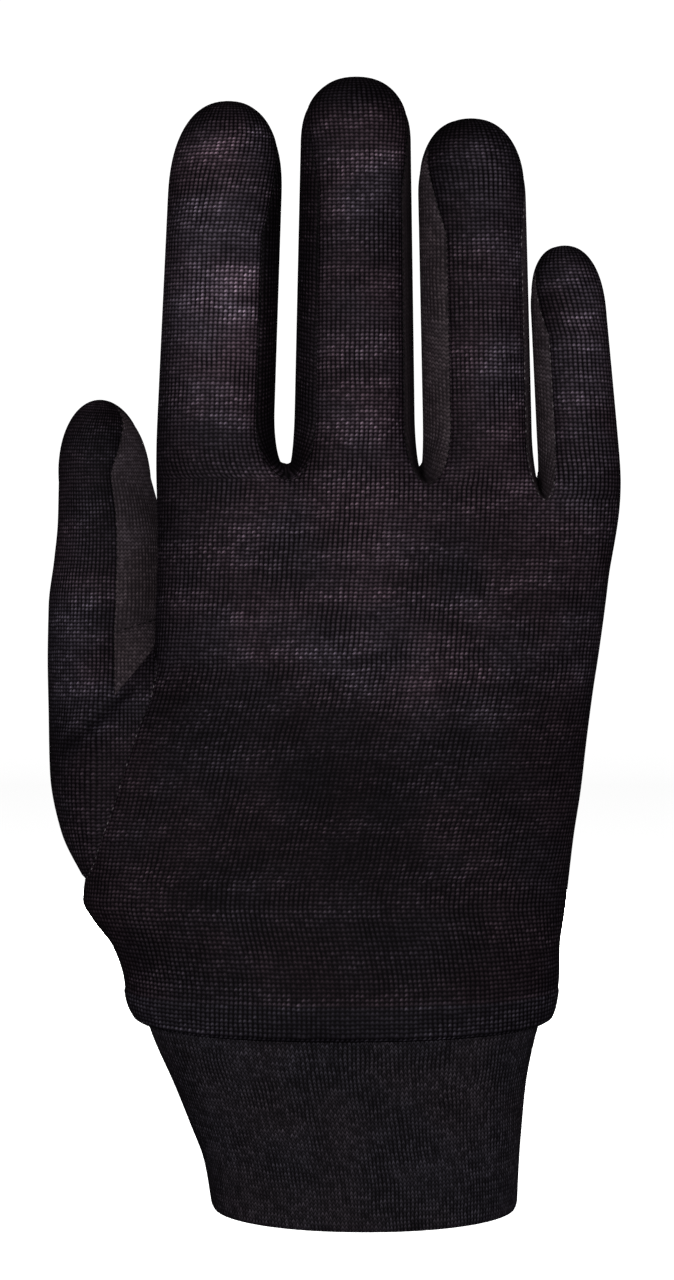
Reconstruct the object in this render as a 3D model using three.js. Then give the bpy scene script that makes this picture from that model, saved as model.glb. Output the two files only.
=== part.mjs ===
import * as THREE from "three";

// Glove liner for a right hand, standing on its wrist opening.
// +X is the little finger's side, +Y the palm, +Z the fingertips.
// The origin is the middle of the wrist opening.

// Driving sizes, in millimetres.
const GLOVE_LENGTH = 230;
const HAND_BREADTH = 88.6;
const WRIST_DEPTH = 40;
const FABRIC_WALL = 1;
const CUFF_WALL = 1.6;
const SEAM_GAP = 0.35;
// Least spread of two edges at a corner: it keeps a sharp corner from being drawn back too far.
const SHARPEST = 0.08;
// Height above a finger notch at which the finger has its own round section.
const NOTCH_REACH = 12;
// Height below a notch at which the back starts to swell into the finger.
const KNUCKLE_REACH = 16;
// Depth of the valley that runs down from each notch between the knuckles.
const VALLEY = 3;
// How far the hem and the mouth hang lower at mid back and mid palm.
const HEM_SAG = 3;

// Angles round the hand, in degrees: 0 is mid back, 90 the little finger's side, 180 mid palm.
const SIDE_SEAM = 96;
const BACK_SWING = 41;
const PALM_SWING = 58;

// Mesh steps.
const FINGER_COLUMNS = 5;
const HEEL_ROWS = 6;
const THUMB_HOLE_ROWS = 9;
const KNUCKLE_ROWS = 5;
const NOTCH_ROWS = 4;
const SHAFT_ROWS = 6;
const DOME_ROWS = 5;
const TIP_ROW = NOTCH_ROWS + SHAFT_ROWS + DOME_ROWS;
const FOURCHETTE_COLUMNS = 3;
const TAPER_START = NOTCH_ROWS + SHAFT_ROWS - 1;
const TAPER_END = TAPER_START + 3;
const THUMB_COLUMNS = 18;
const THUMB_DOME_ROWS = 4;
const SIDE_PANEL_COLUMNS = 5;
const CUFF_ROWS = 8;

// In every table: up is percent of GLOVE_LENGTH, x, left, right and half percent of HAND_BREADTH,
// and y, back, palm and deep percent of WRIST_DEPTH.
// Sections of the hand from the hem up. square is the exponent of the section's superellipse.
const HAND = [
  { up: 17.0, left: -49.1, right: 39.6, back: 45, palm: 46, square: 2.2 },
  { up: 17.5, left: -52.0, right: 42.3, back: 47.5, palm: 48, square: 2.2 },
  { up: 19.0, left: -53.7, right: 43.4, back: 48.5, palm: 49.5, square: 2.2 },
  { up: 21.0, left: -54.5, right: 44.0, back: 48, palm: 50, square: 2.2 },
  { up: 23.5, left: -56.9, right: 44.1, back: 47, palm: 51, square: 2.3 },
  { up: 25.7, left: -61.2, right: 44.9, back: 46, palm: 51, square: 2.3 },
  { up: 27.4, left: -63.6, right: 45.5, back: 45, palm: 50, square: 2.3 },
  { up: 29.1, left: -63.2, right: 46.0, back: 44, palm: 49, square: 2.4 },
  { up: 33.0, left: -64.4, right: 47.2, back: 42, palm: 46, square: 2.5 },
  { up: 37.0, left: -63.2, right: 48.8, back: 40, palm: 43, square: 2.5 },
  { up: 41.3, left: -59.3, right: 50.1, back: 38.5, palm: 40, square: 2.5 },
  { up: 45.7, left: -51.9, right: 51.6, back: 37.5, palm: 38, square: 2.5 },
  { up: 48.7, left: -47.5, right: 52.8, back: 37, palm: 37, square: 2.5 },
  { up: 53.5, left: -47.0, right: 54.5, back: 36, palm: 36, square: 2.5 },
  { up: 58.7, left: -46.6, right: 56.0, back: 34.5, palm: 35, square: 2.6 },
  { up: 63.9, left: -46.4, right: 57.1, back: 32, palm: 34, square: 2.6 },
  { up: 69.6, left: -46.4, right: 57.5, back: 29, palm: 32, square: 2.6 },
];

// Sections of the cuff from its mouth to the hem.
const CUFF = [
  { up: 0.8, left: -34.4, right: 34.4, back: 50, palm: 50, square: 2.1 },
  { up: 4.8, left: -36.2, right: 34.9, back: 49, palm: 49, square: 2.1 },
  { up: 8.3, left: -39.6, right: 35.6, back: 48, palm: 48, square: 2.1 },
  { up: 11.7, left: -43.2, right: 36.5, back: 47, palm: 47, square: 2.1 },
  { up: 15.2, left: -47.3, right: 38.3, back: 45.5, palm: 46.5, square: 2.2 },
  { up: 17.0, left: -49.1, right: 39.6, back: 45, palm: 46, square: 2.2 },
];

// One row a finger: centre and half width at the notches, at the dome's foot and at the tip,
// then the angles of its four seams and of the two places where they meet near the tip.
const FINGERS = [
  { name: "index", footX: -34.1, tipX: -30.8, footY: 0, tipY: 13, foot: 88.4, tip: 97.1,
    half: 13.3, topHalf: 12.9, deep: 0.8,
    backLeft: -96, backRight: 45, palmLeft: -96, palmRight: 125, endLeft: -96, endRight: 84 },
  { name: "middle", footX: -2.3, tipX: -1.9, footY: -3, tipY: 12, foot: 93.0, tip: 99.2,
    half: 13.8, topHalf: 12.5, deep: 0.8,
    backLeft: -41, backRight: 57, palmLeft: -125, palmRight: 125, endLeft: -84, endRight: 96 },
  { name: "ring", footX: 25.7, tipX: 24.0, footY: -1, tipY: 14, foot: 88.4, tip: 95.6,
    half: 12.3, topHalf: 12.2, deep: 0.82,
    backLeft: -31, backRight: 64, palmLeft: -118, palmRight: 132, endLeft: -74, endRight: 106 },
  { name: "little", footX: 48.8, tipX: 45.4, footY: 5, tipY: 20, foot: 78.3, tip: 84.6,
    half: 9.4, topHalf: 8.6, deep: 0.84,
    backLeft: -37, backRight: 96, palmLeft: -118, palmRight: 96, endLeft: -77, endRight: 96 },
];

// The notch between each two fingers: its place across and its height at the back and the palm.
const NOTCHES = [
  { name: "index_middle", backX: -16.8, palmX: -17.9, back: 63.9, palm: 65.5 },
  { name: "middle_ring", backX: 14.3, palmX: 12.1, back: 63.5, palm: 65.2 },
  { name: "ring_little", backX: 41.0, palmX: 38.9, back: 62.2, palm: 64.1 },
];

// Rings of the thumb from its seam up: outer and inner edge, and depth at back and palm.
// hold is how much of the seam's own shape the ring keeps.
const THUMB = [
  { outX: -62.9, outUp: 29.1, inX: -47.3, inUp: 48.7, outY: 0, inY: 0, back: -22, palm: 48, hold: 1 },
  { outX: -68.4, outUp: 33.3, inX: -47.0, inUp: 49.5, outY: 5, inY: 10, back: -21, palm: 51, hold: 0.62 },
  { outX: -71.2, outUp: 38.3, inX: -46.5, inUp: 50.2, outY: 12, inY: 18, back: -14, palm: 54, hold: 0.3 },
  { outX: -71.8, outUp: 43.7, inX: -45.9, inUp: 51.0, outY: 20, inY: 25, back: -6, palm: 56, hold: 0.1 },
  { outX: -72.2, outUp: 48.9, inX: -45.5, inUp: 52.0, outY: 26, inY: 30, back: 1, palm: 57, hold: 0 },
  { outX: -72.1, outUp: 53.0, inX: -45.1, inUp: 55.2, outY: 30, inY: 32, back: 6, palm: 57, hold: 0 },
  { outX: -70.9, outUp: 57.0, inX: -45.7, inUp: 58.5, outY: 32, inY: 33, back: 9.5, palm: 56, hold: 0 },
  { outX: -70.1, outUp: 60.4, inX: -46.8, inUp: 61.3, outY: 34, inY: 34, back: 12, palm: 55, hold: 0 },
  { outX: -69.9, outUp: 63.9, inX: -48.8, inUp: 64.3, outY: 35, inY: 35, back: 15, palm: 53, hold: 0 },
];
const THUMB_TIP = { x: -60.8, up: 71.2, y: 37 };
const THUMB_TIP_ROW = THUMB.length - 1 + THUMB_DOME_ROWS;

// Edges of the thumb's inner panel and of the gusset under it, ring by ring, as angles.
const GUSSET_ROW = 2;
const PANEL_ROW = 4;
const PANEL_END_ROW = 11;
const PANEL_EDGES = [
  { row: GUSSET_ROW, near: 10, far: 110 },
  { row: 8, near: 10, far: 110 },
  { row: 9, near: 25, far: 104 },
  { row: 10, near: 46, far: 86 },
  { row: PANEL_END_ROW, near: 66, far: 66 },
];

const COLOURS = {
  knit: 0x1f1b1f,
  side: 0x2b2729,
  cuff: 0x1b191b,
};

const up = (percent) => (percent / 100) * GLOVE_LENGTH;
const across = (percent) => (percent / 100) * HAND_BREADTH;
const deep = (percent) => (percent / 100) * WRIST_DEPTH;
const mix = (a, b, share) => a + (b - a) * share;
const clamp = (value) => Math.min(1, Math.max(0, value));
const ease = (value) => clamp(value) ** 2 * (3 - 2 * clamp(value));
const sine = (degrees) => Math.sin((degrees * Math.PI) / 180);
const cosine = (degrees) => Math.cos((degrees * Math.PI) / 180);
const power = (value, exponent) => Math.sign(value) * Math.abs(value) ** exponent;

// The slope of a column at a row of a table, flat where the column turns back.
function slopeAt(table, row, key, column) {
  if (row === 0 || row === table.length - 1) return null;
  const before =
    (table[row][column] - table[row - 1][column]) / (table[row][key] - table[row - 1][key]);
  const after =
    (table[row + 1][column] - table[row][column]) / (table[row + 1][key] - table[row][key]);
  return before * after > 0 ? (2 * before * after) / (before + after) : 0;
}

// A column of a table at any value of its key, on a smooth curve through the rows.
function lookUp(table, key, at, column) {
  const value = Math.min(table[table.length - 1][key], Math.max(table[0][key], at));
  const row = Math.max(1, table.findIndex((entry) => entry[key] >= value)) - 1;
  const from = table[row];
  const to = table[row + 1];
  const span = to[key] - from[key];
  const share = (value - from[key]) / span;
  const chord = (to[column] - from[column]) / span;
  const start = slopeAt(table, row, key, column) ?? chord;
  const end = slopeAt(table, row + 1, key, column) ?? chord;
  const rest = 1 - share;
  return (
    mix(from[column], to[column], ease(share)) +
    span * share * rest * (rest * start - share * end)
  );
}

// The section of a sleeve at a height, shrunk by a depth under its surface.
function sectionAt(table, height, depth) {
  const at = (height / GLOVE_LENGTH) * 100;
  const left = across(lookUp(table, "up", at, "left"));
  const right = across(lookUp(table, "up", at, "right"));
  return {
    middle: (left + right) / 2,
    half: (right - left) / 2 - depth,
    back: deep(lookUp(table, "up", at, "back")) - depth,
    palm: deep(lookUp(table, "up", at, "palm")) - depth,
    square: lookUp(table, "up", at, "square"),
  };
}

// A point on a sleeve at an angle round it. Its height is the one that it has at the side seams.
function sleevePoint(table, angle, height, depth) {
  const section = sectionAt(table, height, depth);
  const reach = cosine(angle) > 0 ? section.back : section.palm;
  const hem = up(HAND[0].up);
  const heel = up(THUMB[0].outUp);
  const sag = HEM_SAG * Math.abs(cosine(angle)) * (1 - ease((height - hem) / (heel - hem)));
  return new THREE.Vector3(
    section.middle + section.half * power(sine(angle), 2 / section.square),
    -reach * power(cosine(angle), 2 / section.square),
    height - sag,
  );
}

const handPoint = (angle, height, depth) => sleevePoint(HAND, angle, height, depth);
const cuffPoint = (angle, height, depth) => sleevePoint(CUFF, angle, height, depth);

// The angle on the back of the hand, or on its palm, that lies at a place across.
function angleAcross(x, height, onPalm) {
  const section = sectionAt(HAND, height, 0);
  const share = (x - section.middle) / section.half;
  const angle = (Math.asin(power(share, section.square / 2)) * 180) / Math.PI;
  return onPalm ? 180 - angle : angle;
}

// The seam round the thumb's hole: the angle round the thumb gives the angle round the hand.
function holeAngle(turn) {
  const swing = Math.abs(cosine(turn)) ** 0.75;
  return cosine(turn) > 0 ? BACK_SWING * swing - SIDE_SEAM : -SIDE_SEAM - PALM_SWING * swing;
}

function holeHeight(turn) {
  const heel = up(THUMB[0].outUp);
  const crotch = up(THUMB[0].inUp);
  return mix(heel, crotch, (1 + sine(turn)) / 2);
}

// A ring of the thumb. Past the last ring of the table it is a ring of the dome.
function thumbRing(row) {
  const last = THUMB.length - 1;
  const bend = (Math.max(0, row - last) / THUMB_DOME_ROWS) * 90;
  const ring = THUMB[Math.min(row, last)];
  const outer = new THREE.Vector3(across(ring.outX), deep(ring.outY), up(ring.outUp));
  const inner = new THREE.Vector3(across(ring.inX), deep(ring.inY), up(ring.inUp));
  const centre = outer.add(inner).multiplyScalar(0.5);
  const reach = inner.sub(centre).multiplyScalar(cosine(bend));
  const back = (centre.y - deep(ring.back)) * cosine(bend);
  const palm = (deep(ring.palm) - centre.y) * cosine(bend);
  const tip = new THREE.Vector3(across(THUMB_TIP.x), deep(THUMB_TIP.y), up(THUMB_TIP.up));
  return { centre: centre.lerp(tip, sine(bend)), reach, back, palm };
}

function ringPoint(ring, turn) {
  const side = cosine(turn) > 0 ? ring.back : ring.palm;
  const point = ring.centre.clone().addScaledVector(ring.reach, sine(turn));
  point.y -= side * cosine(turn);
  return point;
}

const thumbHold = (row) => (row < THUMB.length ? THUMB[row].hold : 0);
const holePoint = (turn, depth) => handPoint(holeAngle(turn), holeHeight(turn), depth);

// A point on the thumb: turn 90 faces the index finger, 0 the back, -90 outwards, -180 the palm.
function thumbSurface(turn, row) {
  const point = ringPoint(thumbRing(row), turn);
  const fromRing = holePoint(turn, 0).sub(ringPoint(thumbRing(0), turn));
  return point.addScaledVector(fromRing, thumbHold(row));
}

// The way out of the thumb at a point, from the points round it.
function thumbNormal(turn, row) {
  if (row === THUMB_TIP_ROW) return new THREE.Vector3(0, 0, 1);
  const step = 360 / THUMB_COLUMNS;
  const round = thumbSurface(turn + step, row).sub(thumbSurface(turn - step, row));
  const rise = thumbSurface(turn, row + 1).sub(thumbSurface(turn, Math.max(0, row - 1)));
  return round.cross(rise).normalize();
}

// A point at a depth under the thumb's surface. At its seam it lies as deep as the hand's edge.
function thumbPoint(turn, row, depth) {
  const point = thumbSurface(turn, row);
  const atSeam = point.clone().add(holePoint(turn, depth)).sub(holePoint(turn, 0));
  return point.addScaledVector(thumbNormal(turn, row), -depth).lerp(atSeam, thumbHold(row));
}

// A point of a finger at a height, or at a bend of 0 to 90 degrees up its dome.
function fingerPoint(finger, angle, height, bend, depth) {
  const foot = up(finger.foot);
  const dome = up(finger.tip) - foot - depth;
  const notch = up(NOTCHES[0].back);
  const z = bend > 0 ? foot + dome * sine(bend) ** 0.85 : height;
  const share = (z - notch) / (up(finger.tip) - notch);
  const shaft = clamp((z - notch) / (foot - notch));
  const round = cosine(bend) ** 0.85;
  const half = (across(mix(finger.half, finger.topHalf, shaft)) - depth) * round;
  const thick =
    (across(mix(finger.half, finger.topHalf, shaft)) * finger.deep - depth) * round;
  return new THREE.Vector3(
    across(mix(finger.footX, finger.tipX, share)) + half * sine(angle),
    deep(mix(finger.footY, finger.tipY, clamp(share) ** 1.6)) - thick * cosine(angle),
    z,
  );
}

// The height of a row of a finger over its notch, and the bend of its dome at that row.
function rowHeight(finger, notch, row) {
  if (row <= NOTCH_ROWS)
    return notch + NOTCH_REACH * (1 - cosine((90 * row) / NOTCH_ROWS));
  const share = Math.min(1, (row - NOTCH_ROWS) / SHAFT_ROWS);
  return mix(notch + NOTCH_REACH, up(finger.foot), share);
}

const rowBend = (row) => (90 * Math.max(0, row - NOTCH_ROWS - SHAFT_ROWS)) / DOME_ROWS;

// How far an edge of a finger has left the notch for the finger's own section: first sideways,
// round the notch, and more slowly in depth.
const notchBend = (row) => 90 * Math.min(1, Math.max(0, row) / NOTCH_ROWS);
const edgeAcross = (row) => sine(notchBend(row));
const edgeDeep = (row) => ease(1 - cosine(notchBend(row)));

// Takes a point from the hand to a finger by one share across and up, and another in depth.
function toFinger(onHand, onFinger, shareAcross, shareDeep) {
  return new THREE.Vector3(
    mix(onHand.x, onFinger.x, shareAcross),
    mix(onHand.y, onFinger.y, shareDeep),
    mix(onHand.z, onFinger.z, shareAcross),
  );
}

// A finger's seam angle at a row: it closes to the side of the finger near the tip.
function seamAngle(seam, end, row) {
  return mix(seam, end, clamp((row - TAPER_START) / (TAPER_END - TAPER_START)));
}

// The four angles that bound a finger's back and palm at a row, and its two notches.
function fingerEdges(index, row, onPalm) {
  const finger = FINGERS[index];
  const left = onPalm ? finger.palmLeft : finger.backLeft;
  const right = onPalm ? finger.palmRight : finger.backRight;
  return {
    left: seamAngle(left, finger.endLeft, row) + (onPalm ? 360 : 0),
    right: seamAngle(right, finger.endRight, row),
  };
}

const notchHeight = (notch, onPalm) => up(onPalm ? notch.palm : notch.back);

// The heights of the two notches beside a finger. An outer finger has its one notch for both.
function notchesBeside(index, onPalm) {
  const left = NOTCHES[Math.max(0, index - 1)];
  const right = NOTCHES[Math.min(NOTCHES.length - 1, index)];
  return { left: notchHeight(left, onPalm), right: notchHeight(right, onPalm) };
}

// The angles on the hand at its two edges and under each notch, at a height.
function handEdges(height, onPalm) {
  const heel = up(THUMB[0].outUp);
  const crotch = up(THUMB[0].inUp);
  const rise = Math.min(1, Math.max(-1, (2 * (height - heel)) / (crotch - heel) - 1));
  const turn = (Math.asin(rise) * 180) / Math.PI;
  const edge = holeAngle(onPalm ? -180 - turn : turn);
  const left = onPalm ? edge + 360 : edge;
  const right = SIDE_SEAM;
  const leftX = handPoint(left, height, 0).x;
  const rightX = handPoint(right, height, 0).x;
  const top = sectionAt(HAND, up(NOTCHES[0].back), 0);
  const inner = NOTCHES.map((notch) => {
    const x = across(onPalm ? notch.palmX : notch.backX);
    const share = (x - top.middle + top.half) / (2 * top.half);
    return angleAcross(mix(leftX, rightX, share), height, onPalm);
  });
  return [left, ...inner, right];
}

// Heights of the rows of the hand on its side seams, from the hem to the thumb's crotch.
function handRows() {
  const hem = up(HAND[0].up);
  const heel = up(THUMB[0].outUp);
  const rows = [];
  for (let row = 0; row < HEEL_ROWS; row++)
    rows.push(mix(hem, heel, (row / HEEL_ROWS) ** 1.7));
  for (let row = 0; row <= THUMB_HOLE_ROWS; row++)
    rows.push(holeHeight(-90 + (180 * row) / THUMB_HOLE_ROWS));
  return rows;
}

// A point of the back or palm: column 0 is a finger's left edge, below it the hand under it.
function panelPoint(index, onPalm, row, column, depth) {
  const finger = FINGERS[index];
  const share = column / FINGER_COLUMNS;
  const low = handRows();
  const beside = notchesBeside(index, onPalm);
  const crotch = low[low.length - 1];
  const notch = mix(beside.left, beside.right, share);
  const fingerRow = row - (low.length - 1) - KNUCKLE_ROWS;
  let height = low[Math.min(row, low.length - 1)];
  if (row >= low.length) height = mix(crotch, notch, (row - low.length + 1) / KNUCKLE_ROWS);
  if (fingerRow > 0)
    height = mix(
      rowHeight(finger, beside.left, fingerRow),
      rowHeight(finger, beside.right, fingerRow),
      share,
    );
  const edges = handEdges(height, onPalm);
  const onHand = handPoint(mix(edges[index], edges[index + 1], share), height, depth);
  const closed = 2 * share - 1;
  const open = (index === 0 && closed < 0) || (index === FINGERS.length - 1 && closed > 0);
  const edge = open ? 0 : closed ** 2;
  const swell = ease((height - notch + KNUCKLE_REACH) / (KNUCKLE_REACH + NOTCH_REACH));
  const valley = VALLEY * edge * ease((height - notch + KNUCKLE_REACH) / KNUCKLE_REACH);
  onHand.y += onPalm ? -valley : valley;
  if (fingerRow >= 0) onHand.z -= depth * edge;
  const sides = fingerEdges(index, fingerRow, onPalm);
  const angle = mix(sides.left, sides.right, share);
  const onFinger = fingerPoint(finger, angle, height, rowBend(fingerRow), depth);
  if (fingerRow > NOTCH_ROWS) return onFinger;
  const shareAcross = mix(swell, edgeAcross(fingerRow), edge);
  const shareDeep = mix(swell, edgeDeep(fingerRow), edge);
  return toFinger(onHand, onFinger, shareAcross, shareDeep);
}

// A point of a fourchette: negative rows climb the finger on its left, positive the one on its right.
function fourchettePoint(index, row, share, depth) {
  const side = row < 0 ? index : index + 1;
  const finger = FINGERS[side];
  const step = Math.abs(row);
  const back = rowHeight(finger, notchHeight(NOTCHES[index], false), step);
  const palm = rowHeight(finger, notchHeight(NOTCHES[index], true), step);
  const onBack = handPoint(handEdges(back, false)[index + 1], back, depth);
  const onPalm = handPoint(handEdges(palm, true)[index + 1], palm, depth);
  onBack.y += VALLEY;
  onPalm.y -= VALLEY;
  const web = onBack.lerp(onPalm, share);
  web.z -= depth;
  const angles =
    row < 0
      ? [fingerEdges(side, step, false).right, fingerEdges(side, step, true).right]
      : [fingerEdges(side, step, false).left, fingerEdges(side, step, true).left - 360];
  const height = mix(back, palm, share);
  const onFinger = fingerPoint(
    finger,
    mix(angles[0], angles[1], share),
    height,
    rowBend(step),
    depth,
  );
  return toFinger(web, onFinger, edgeAcross(step), edgeDeep(step));
}

// A patch is a sheet of points in rows and columns, for the surface and for the depth under it.
function patch(rows, columns, pointAt, wall) {
  const sheet = (depth) =>
    Array.from({ length: rows + 1 }, (_, row) =>
      Array.from({ length: columns + 1 }, (_, column) => pointAt(row, column, depth)),
    );
  return { rows, columns, outer: sheet(0), inner: sheet(wall) };
}

// Joins patches at their common points into one list of points and one of triangles.
function weld(patches) {
  const places = new Map();
  const outer = [];
  const inner = [];
  const triangles = [];
  const indexOf = (sheet, row, column) => {
    const point = sheet.outer[row][column];
    const key = point.toArray().map((value) => Math.round(value * 1000)).join(" ");
    if (!places.has(key)) {
      places.set(key, outer.length);
      outer.push(point.clone());
      inner.push(sheet.inner[row][column].clone());
    }
    return places.get(key);
  };
  for (const sheet of patches)
    for (let row = 0; row < sheet.rows; row++)
      for (let column = 0; column < sheet.columns; column++) {
        const a = indexOf(sheet, row, column);
        const b = indexOf(sheet, row, column + 1);
        const c = indexOf(sheet, row + 1, column + 1);
        const d = indexOf(sheet, row + 1, column);
        for (const face of [[a, b, c], [a, c, d]])
          if (new Set(face).size === 3) triangles.push(face);
      }
  return { outer, inner, triangles };
}

// The open edges of a surface, each as its two points and the third point of its triangle.
function openEdges(triangles) {
  const edges = new Map();
  for (const face of triangles)
    face.forEach((from, corner) => {
      const to = face[(corner + 1) % 3];
      const other = face[(corner + 2) % 3];
      if (!edges.delete(to + "," + from)) edges.set(from + "," + to, { from, to, other });
    });
  return [...edges.values()];
}

// Draws the open edges back by half a seam gap, within the surface.
function drawBack(surface, edges) {
  const inward = new Map();
  for (const edge of edges) {
    const start = surface.outer[edge.from];
    const along = surface.outer[edge.to].clone().sub(start).normalize();
    const into = surface.outer[edge.other].clone().sub(start);
    into.addScaledVector(along, -into.dot(along)).normalize();
    for (const end of [edge.from, edge.to])
      inward.set(end, [...(inward.get(end) ?? []), into]);
  }
  for (const [place, [first, second]] of inward) {
    const spread = Math.max(SHARPEST, 1 + first.dot(second));
    const shift = first.clone().add(second).multiplyScalar(SEAM_GAP / 2 / spread);
    surface.outer[place].add(shift);
    surface.inner[place].add(shift);
  }
}

// A closed piece of fabric with a wall, from patches that share their common edges.
function fabricPiece(name, colour, patches) {
  const surface = weld(patches);
  const edges = openEdges(surface.triangles);
  drawBack(surface, edges);
  const count = surface.outer.length;
  const faces = [];
  for (const [a, b, c] of surface.triangles) {
    faces.push(a, b, c);
    faces.push(count + c, count + b, count + a);
  }
  for (const { from, to } of edges) {
    faces.push(to, from, count + from);
    faces.push(to, count + from, count + to);
  }
  const geometry = new THREE.BufferGeometry().setFromPoints([...surface.outer, ...surface.inner]);
  geometry.setIndex(faces);
  geometry.computeVertexNormals();
  const material = new THREE.MeshStandardMaterial({ color: colour, roughness: 0.9, metalness: 0 });
  const mesh = new THREE.Mesh(geometry, material);
  mesh.name = name;
  return mesh;
}

// The back or the palm: four strips of the hand, each going on into its finger.
function handPanel(name, onPalm) {
  const rows = HEEL_ROWS + THUMB_HOLE_ROWS + KNUCKLE_ROWS + TIP_ROW;
  const strips = FINGERS.map((_, index) =>
    patch(
      rows,
      FINGER_COLUMNS,
      (row, column, depth) =>
        panelPoint(index, onPalm, row, onPalm ? FINGER_COLUMNS - column : column, depth),
      FABRIC_WALL,
    ),
  );
  return fabricPiece(name, COLOURS.knit, strips);
}

// The strip between two fingers: up the side of one, through the notch, up the side of the other.
function fourchette(index) {
  const strip = patch(
    2 * TAPER_END,
    FOURCHETTE_COLUMNS,
    (row, column, depth) =>
      fourchettePoint(index, row - TAPER_END, 1 - column / FOURCHETTE_COLUMNS, depth),
    FABRIC_WALL,
  );
  return fabricPiece("fourchette_" + NOTCHES[index].name, COLOURS.side, [strip]);
}

const panelEdge = (row, side) => lookUp(PANEL_EDGES, "row", row, side);

// The thumb goes all round below the gusset, and above it leaves out the inner panel.
function thumbPiece() {
  const seam = patch(
    GUSSET_ROW,
    THUMB_COLUMNS,
    (row, column, depth) =>
      thumbPoint(panelEdge(GUSSET_ROW, "near") - 360 * (1 - column / THUMB_COLUMNS), row, depth),
    FABRIC_WALL,
  );
  const columns = THUMB_COLUMNS - SIDE_PANEL_COLUMNS;
  const shaft = patch(
    THUMB_TIP_ROW - GUSSET_ROW,
    columns,
    (step, column, depth) => {
      const row = GUSSET_ROW + step;
      const far = panelEdge(row, "far") - 360;
      return thumbPoint(mix(far, panelEdge(row, "near"), column / columns), row, depth);
    },
    FABRIC_WALL,
  );
  return fabricPiece("thumb", COLOURS.knit, [seam, shaft]);
}

// The inner panel of the thumb, or the gusset under it: the rows between two of its rows.
function thumbInset(name, from, to) {
  const sheet = patch(
    to - from,
    SIDE_PANEL_COLUMNS,
    (row, column, depth) => {
      const near = panelEdge(from + row, "near");
      const far = panelEdge(from + row, "far");
      return thumbPoint(mix(near, far, column / SIDE_PANEL_COLUMNS), from + row, depth);
    },
    FABRIC_WALL,
  );
  return fabricPiece(name, COLOURS.side, [sheet]);
}

// The angles of the columns that end at the hem, once round the hand.
function hemAngles() {
  const angles = [false, true].flatMap((onPalm) => {
    const edges = handEdges(up(HAND[0].up), onPalm).sort((a, b) => a - b);
    return edges.slice(1).flatMap((edge, index) =>
      Array.from({ length: FINGER_COLUMNS }, (_, column) =>
        mix(edges[index], edge, column / FINGER_COLUMNS),
      ),
    );
  });
  return [...angles, angles[0] + 360];
}

// The cuff, a sleeve of doubled knit from the mouth to the hem.
function cuffPiece() {
  const angles = hemAngles();
  const mouth = up(CUFF[0].up);
  const hem = up(HAND[0].up);
  const sheet = patch(
    CUFF_ROWS,
    angles.length - 1,
    (row, column, depth) => cuffPoint(angles[column], mix(mouth, hem, row / CUFF_ROWS), depth),
    CUFF_WALL,
  );
  return fabricPiece("cuff", COLOURS.cuff, [sheet]);
}

const group = new THREE.Group();
group.add(handPanel("back_panel", false));
group.add(handPanel("palm_panel", true));
NOTCHES.forEach((_, index) => group.add(fourchette(index)));
group.add(thumbPiece());
group.add(thumbInset("thumb_side_panel", PANEL_ROW, PANEL_END_ROW));
group.add(thumbInset("thumb_gusset", GUSSET_ROW, PANEL_ROW));
group.add(cuffPiece());

export default group;
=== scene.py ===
import math
from types import SimpleNamespace as Record

import bpy
import numpy as np
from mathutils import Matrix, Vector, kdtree


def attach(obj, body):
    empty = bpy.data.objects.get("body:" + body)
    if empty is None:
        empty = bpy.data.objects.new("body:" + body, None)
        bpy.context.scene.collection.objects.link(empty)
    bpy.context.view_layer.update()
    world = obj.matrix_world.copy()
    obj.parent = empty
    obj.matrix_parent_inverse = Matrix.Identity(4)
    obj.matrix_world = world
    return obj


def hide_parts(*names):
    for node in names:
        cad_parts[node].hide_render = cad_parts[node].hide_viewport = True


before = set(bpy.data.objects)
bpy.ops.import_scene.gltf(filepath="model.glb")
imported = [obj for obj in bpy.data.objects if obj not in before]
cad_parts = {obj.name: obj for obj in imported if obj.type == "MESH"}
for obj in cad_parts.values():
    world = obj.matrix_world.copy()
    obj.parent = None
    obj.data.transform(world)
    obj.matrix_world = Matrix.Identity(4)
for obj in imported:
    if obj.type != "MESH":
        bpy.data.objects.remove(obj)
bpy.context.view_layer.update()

# Glove liner for a right hand. +X is the little finger's side, +Y the palm, +Z the fingertips.
# The lengths are in millimetres until a mesh is made.

# Sizes of the glove, as in the part's source.
GLOVE_LENGTH = 230.0
HAND_BREADTH = 88.6
WRIST_DEPTH = 40.0
FABRIC_WALL = 1.0
CUFF_WALL = 1.6
NOTCH_REACH = 12.0
KNUCKLE_REACH = 16.0
VALLEY = 3.0
HEM_SAG = 3.0
SIDE_SEAM = 96.0
BACK_SWING = 41.0
PALM_SWING = 58.0

# Rows of the part's mesh. Here a row may lie between two of them.
HEEL_ROWS = 6
THUMB_HOLE_ROWS = 9
KNUCKLE_ROWS = 5
HAND_ROWS = HEEL_ROWS + THUMB_HOLE_ROWS + KNUCKLE_ROWS
NOTCH_ROWS = 4
SHAFT_ROWS = 6
DOME_ROWS = 5
TIP_ROW = NOTCH_ROWS + SHAFT_ROWS + DOME_ROWS
TAPER_START = NOTCH_ROWS + SHAFT_ROWS - 1
TAPER_END = TAPER_START + 3
THUMB_DOME_ROWS = 4
GUSSET_ROW = 2
PANEL_ROW = 4
PANEL_END_ROW = 11

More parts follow.
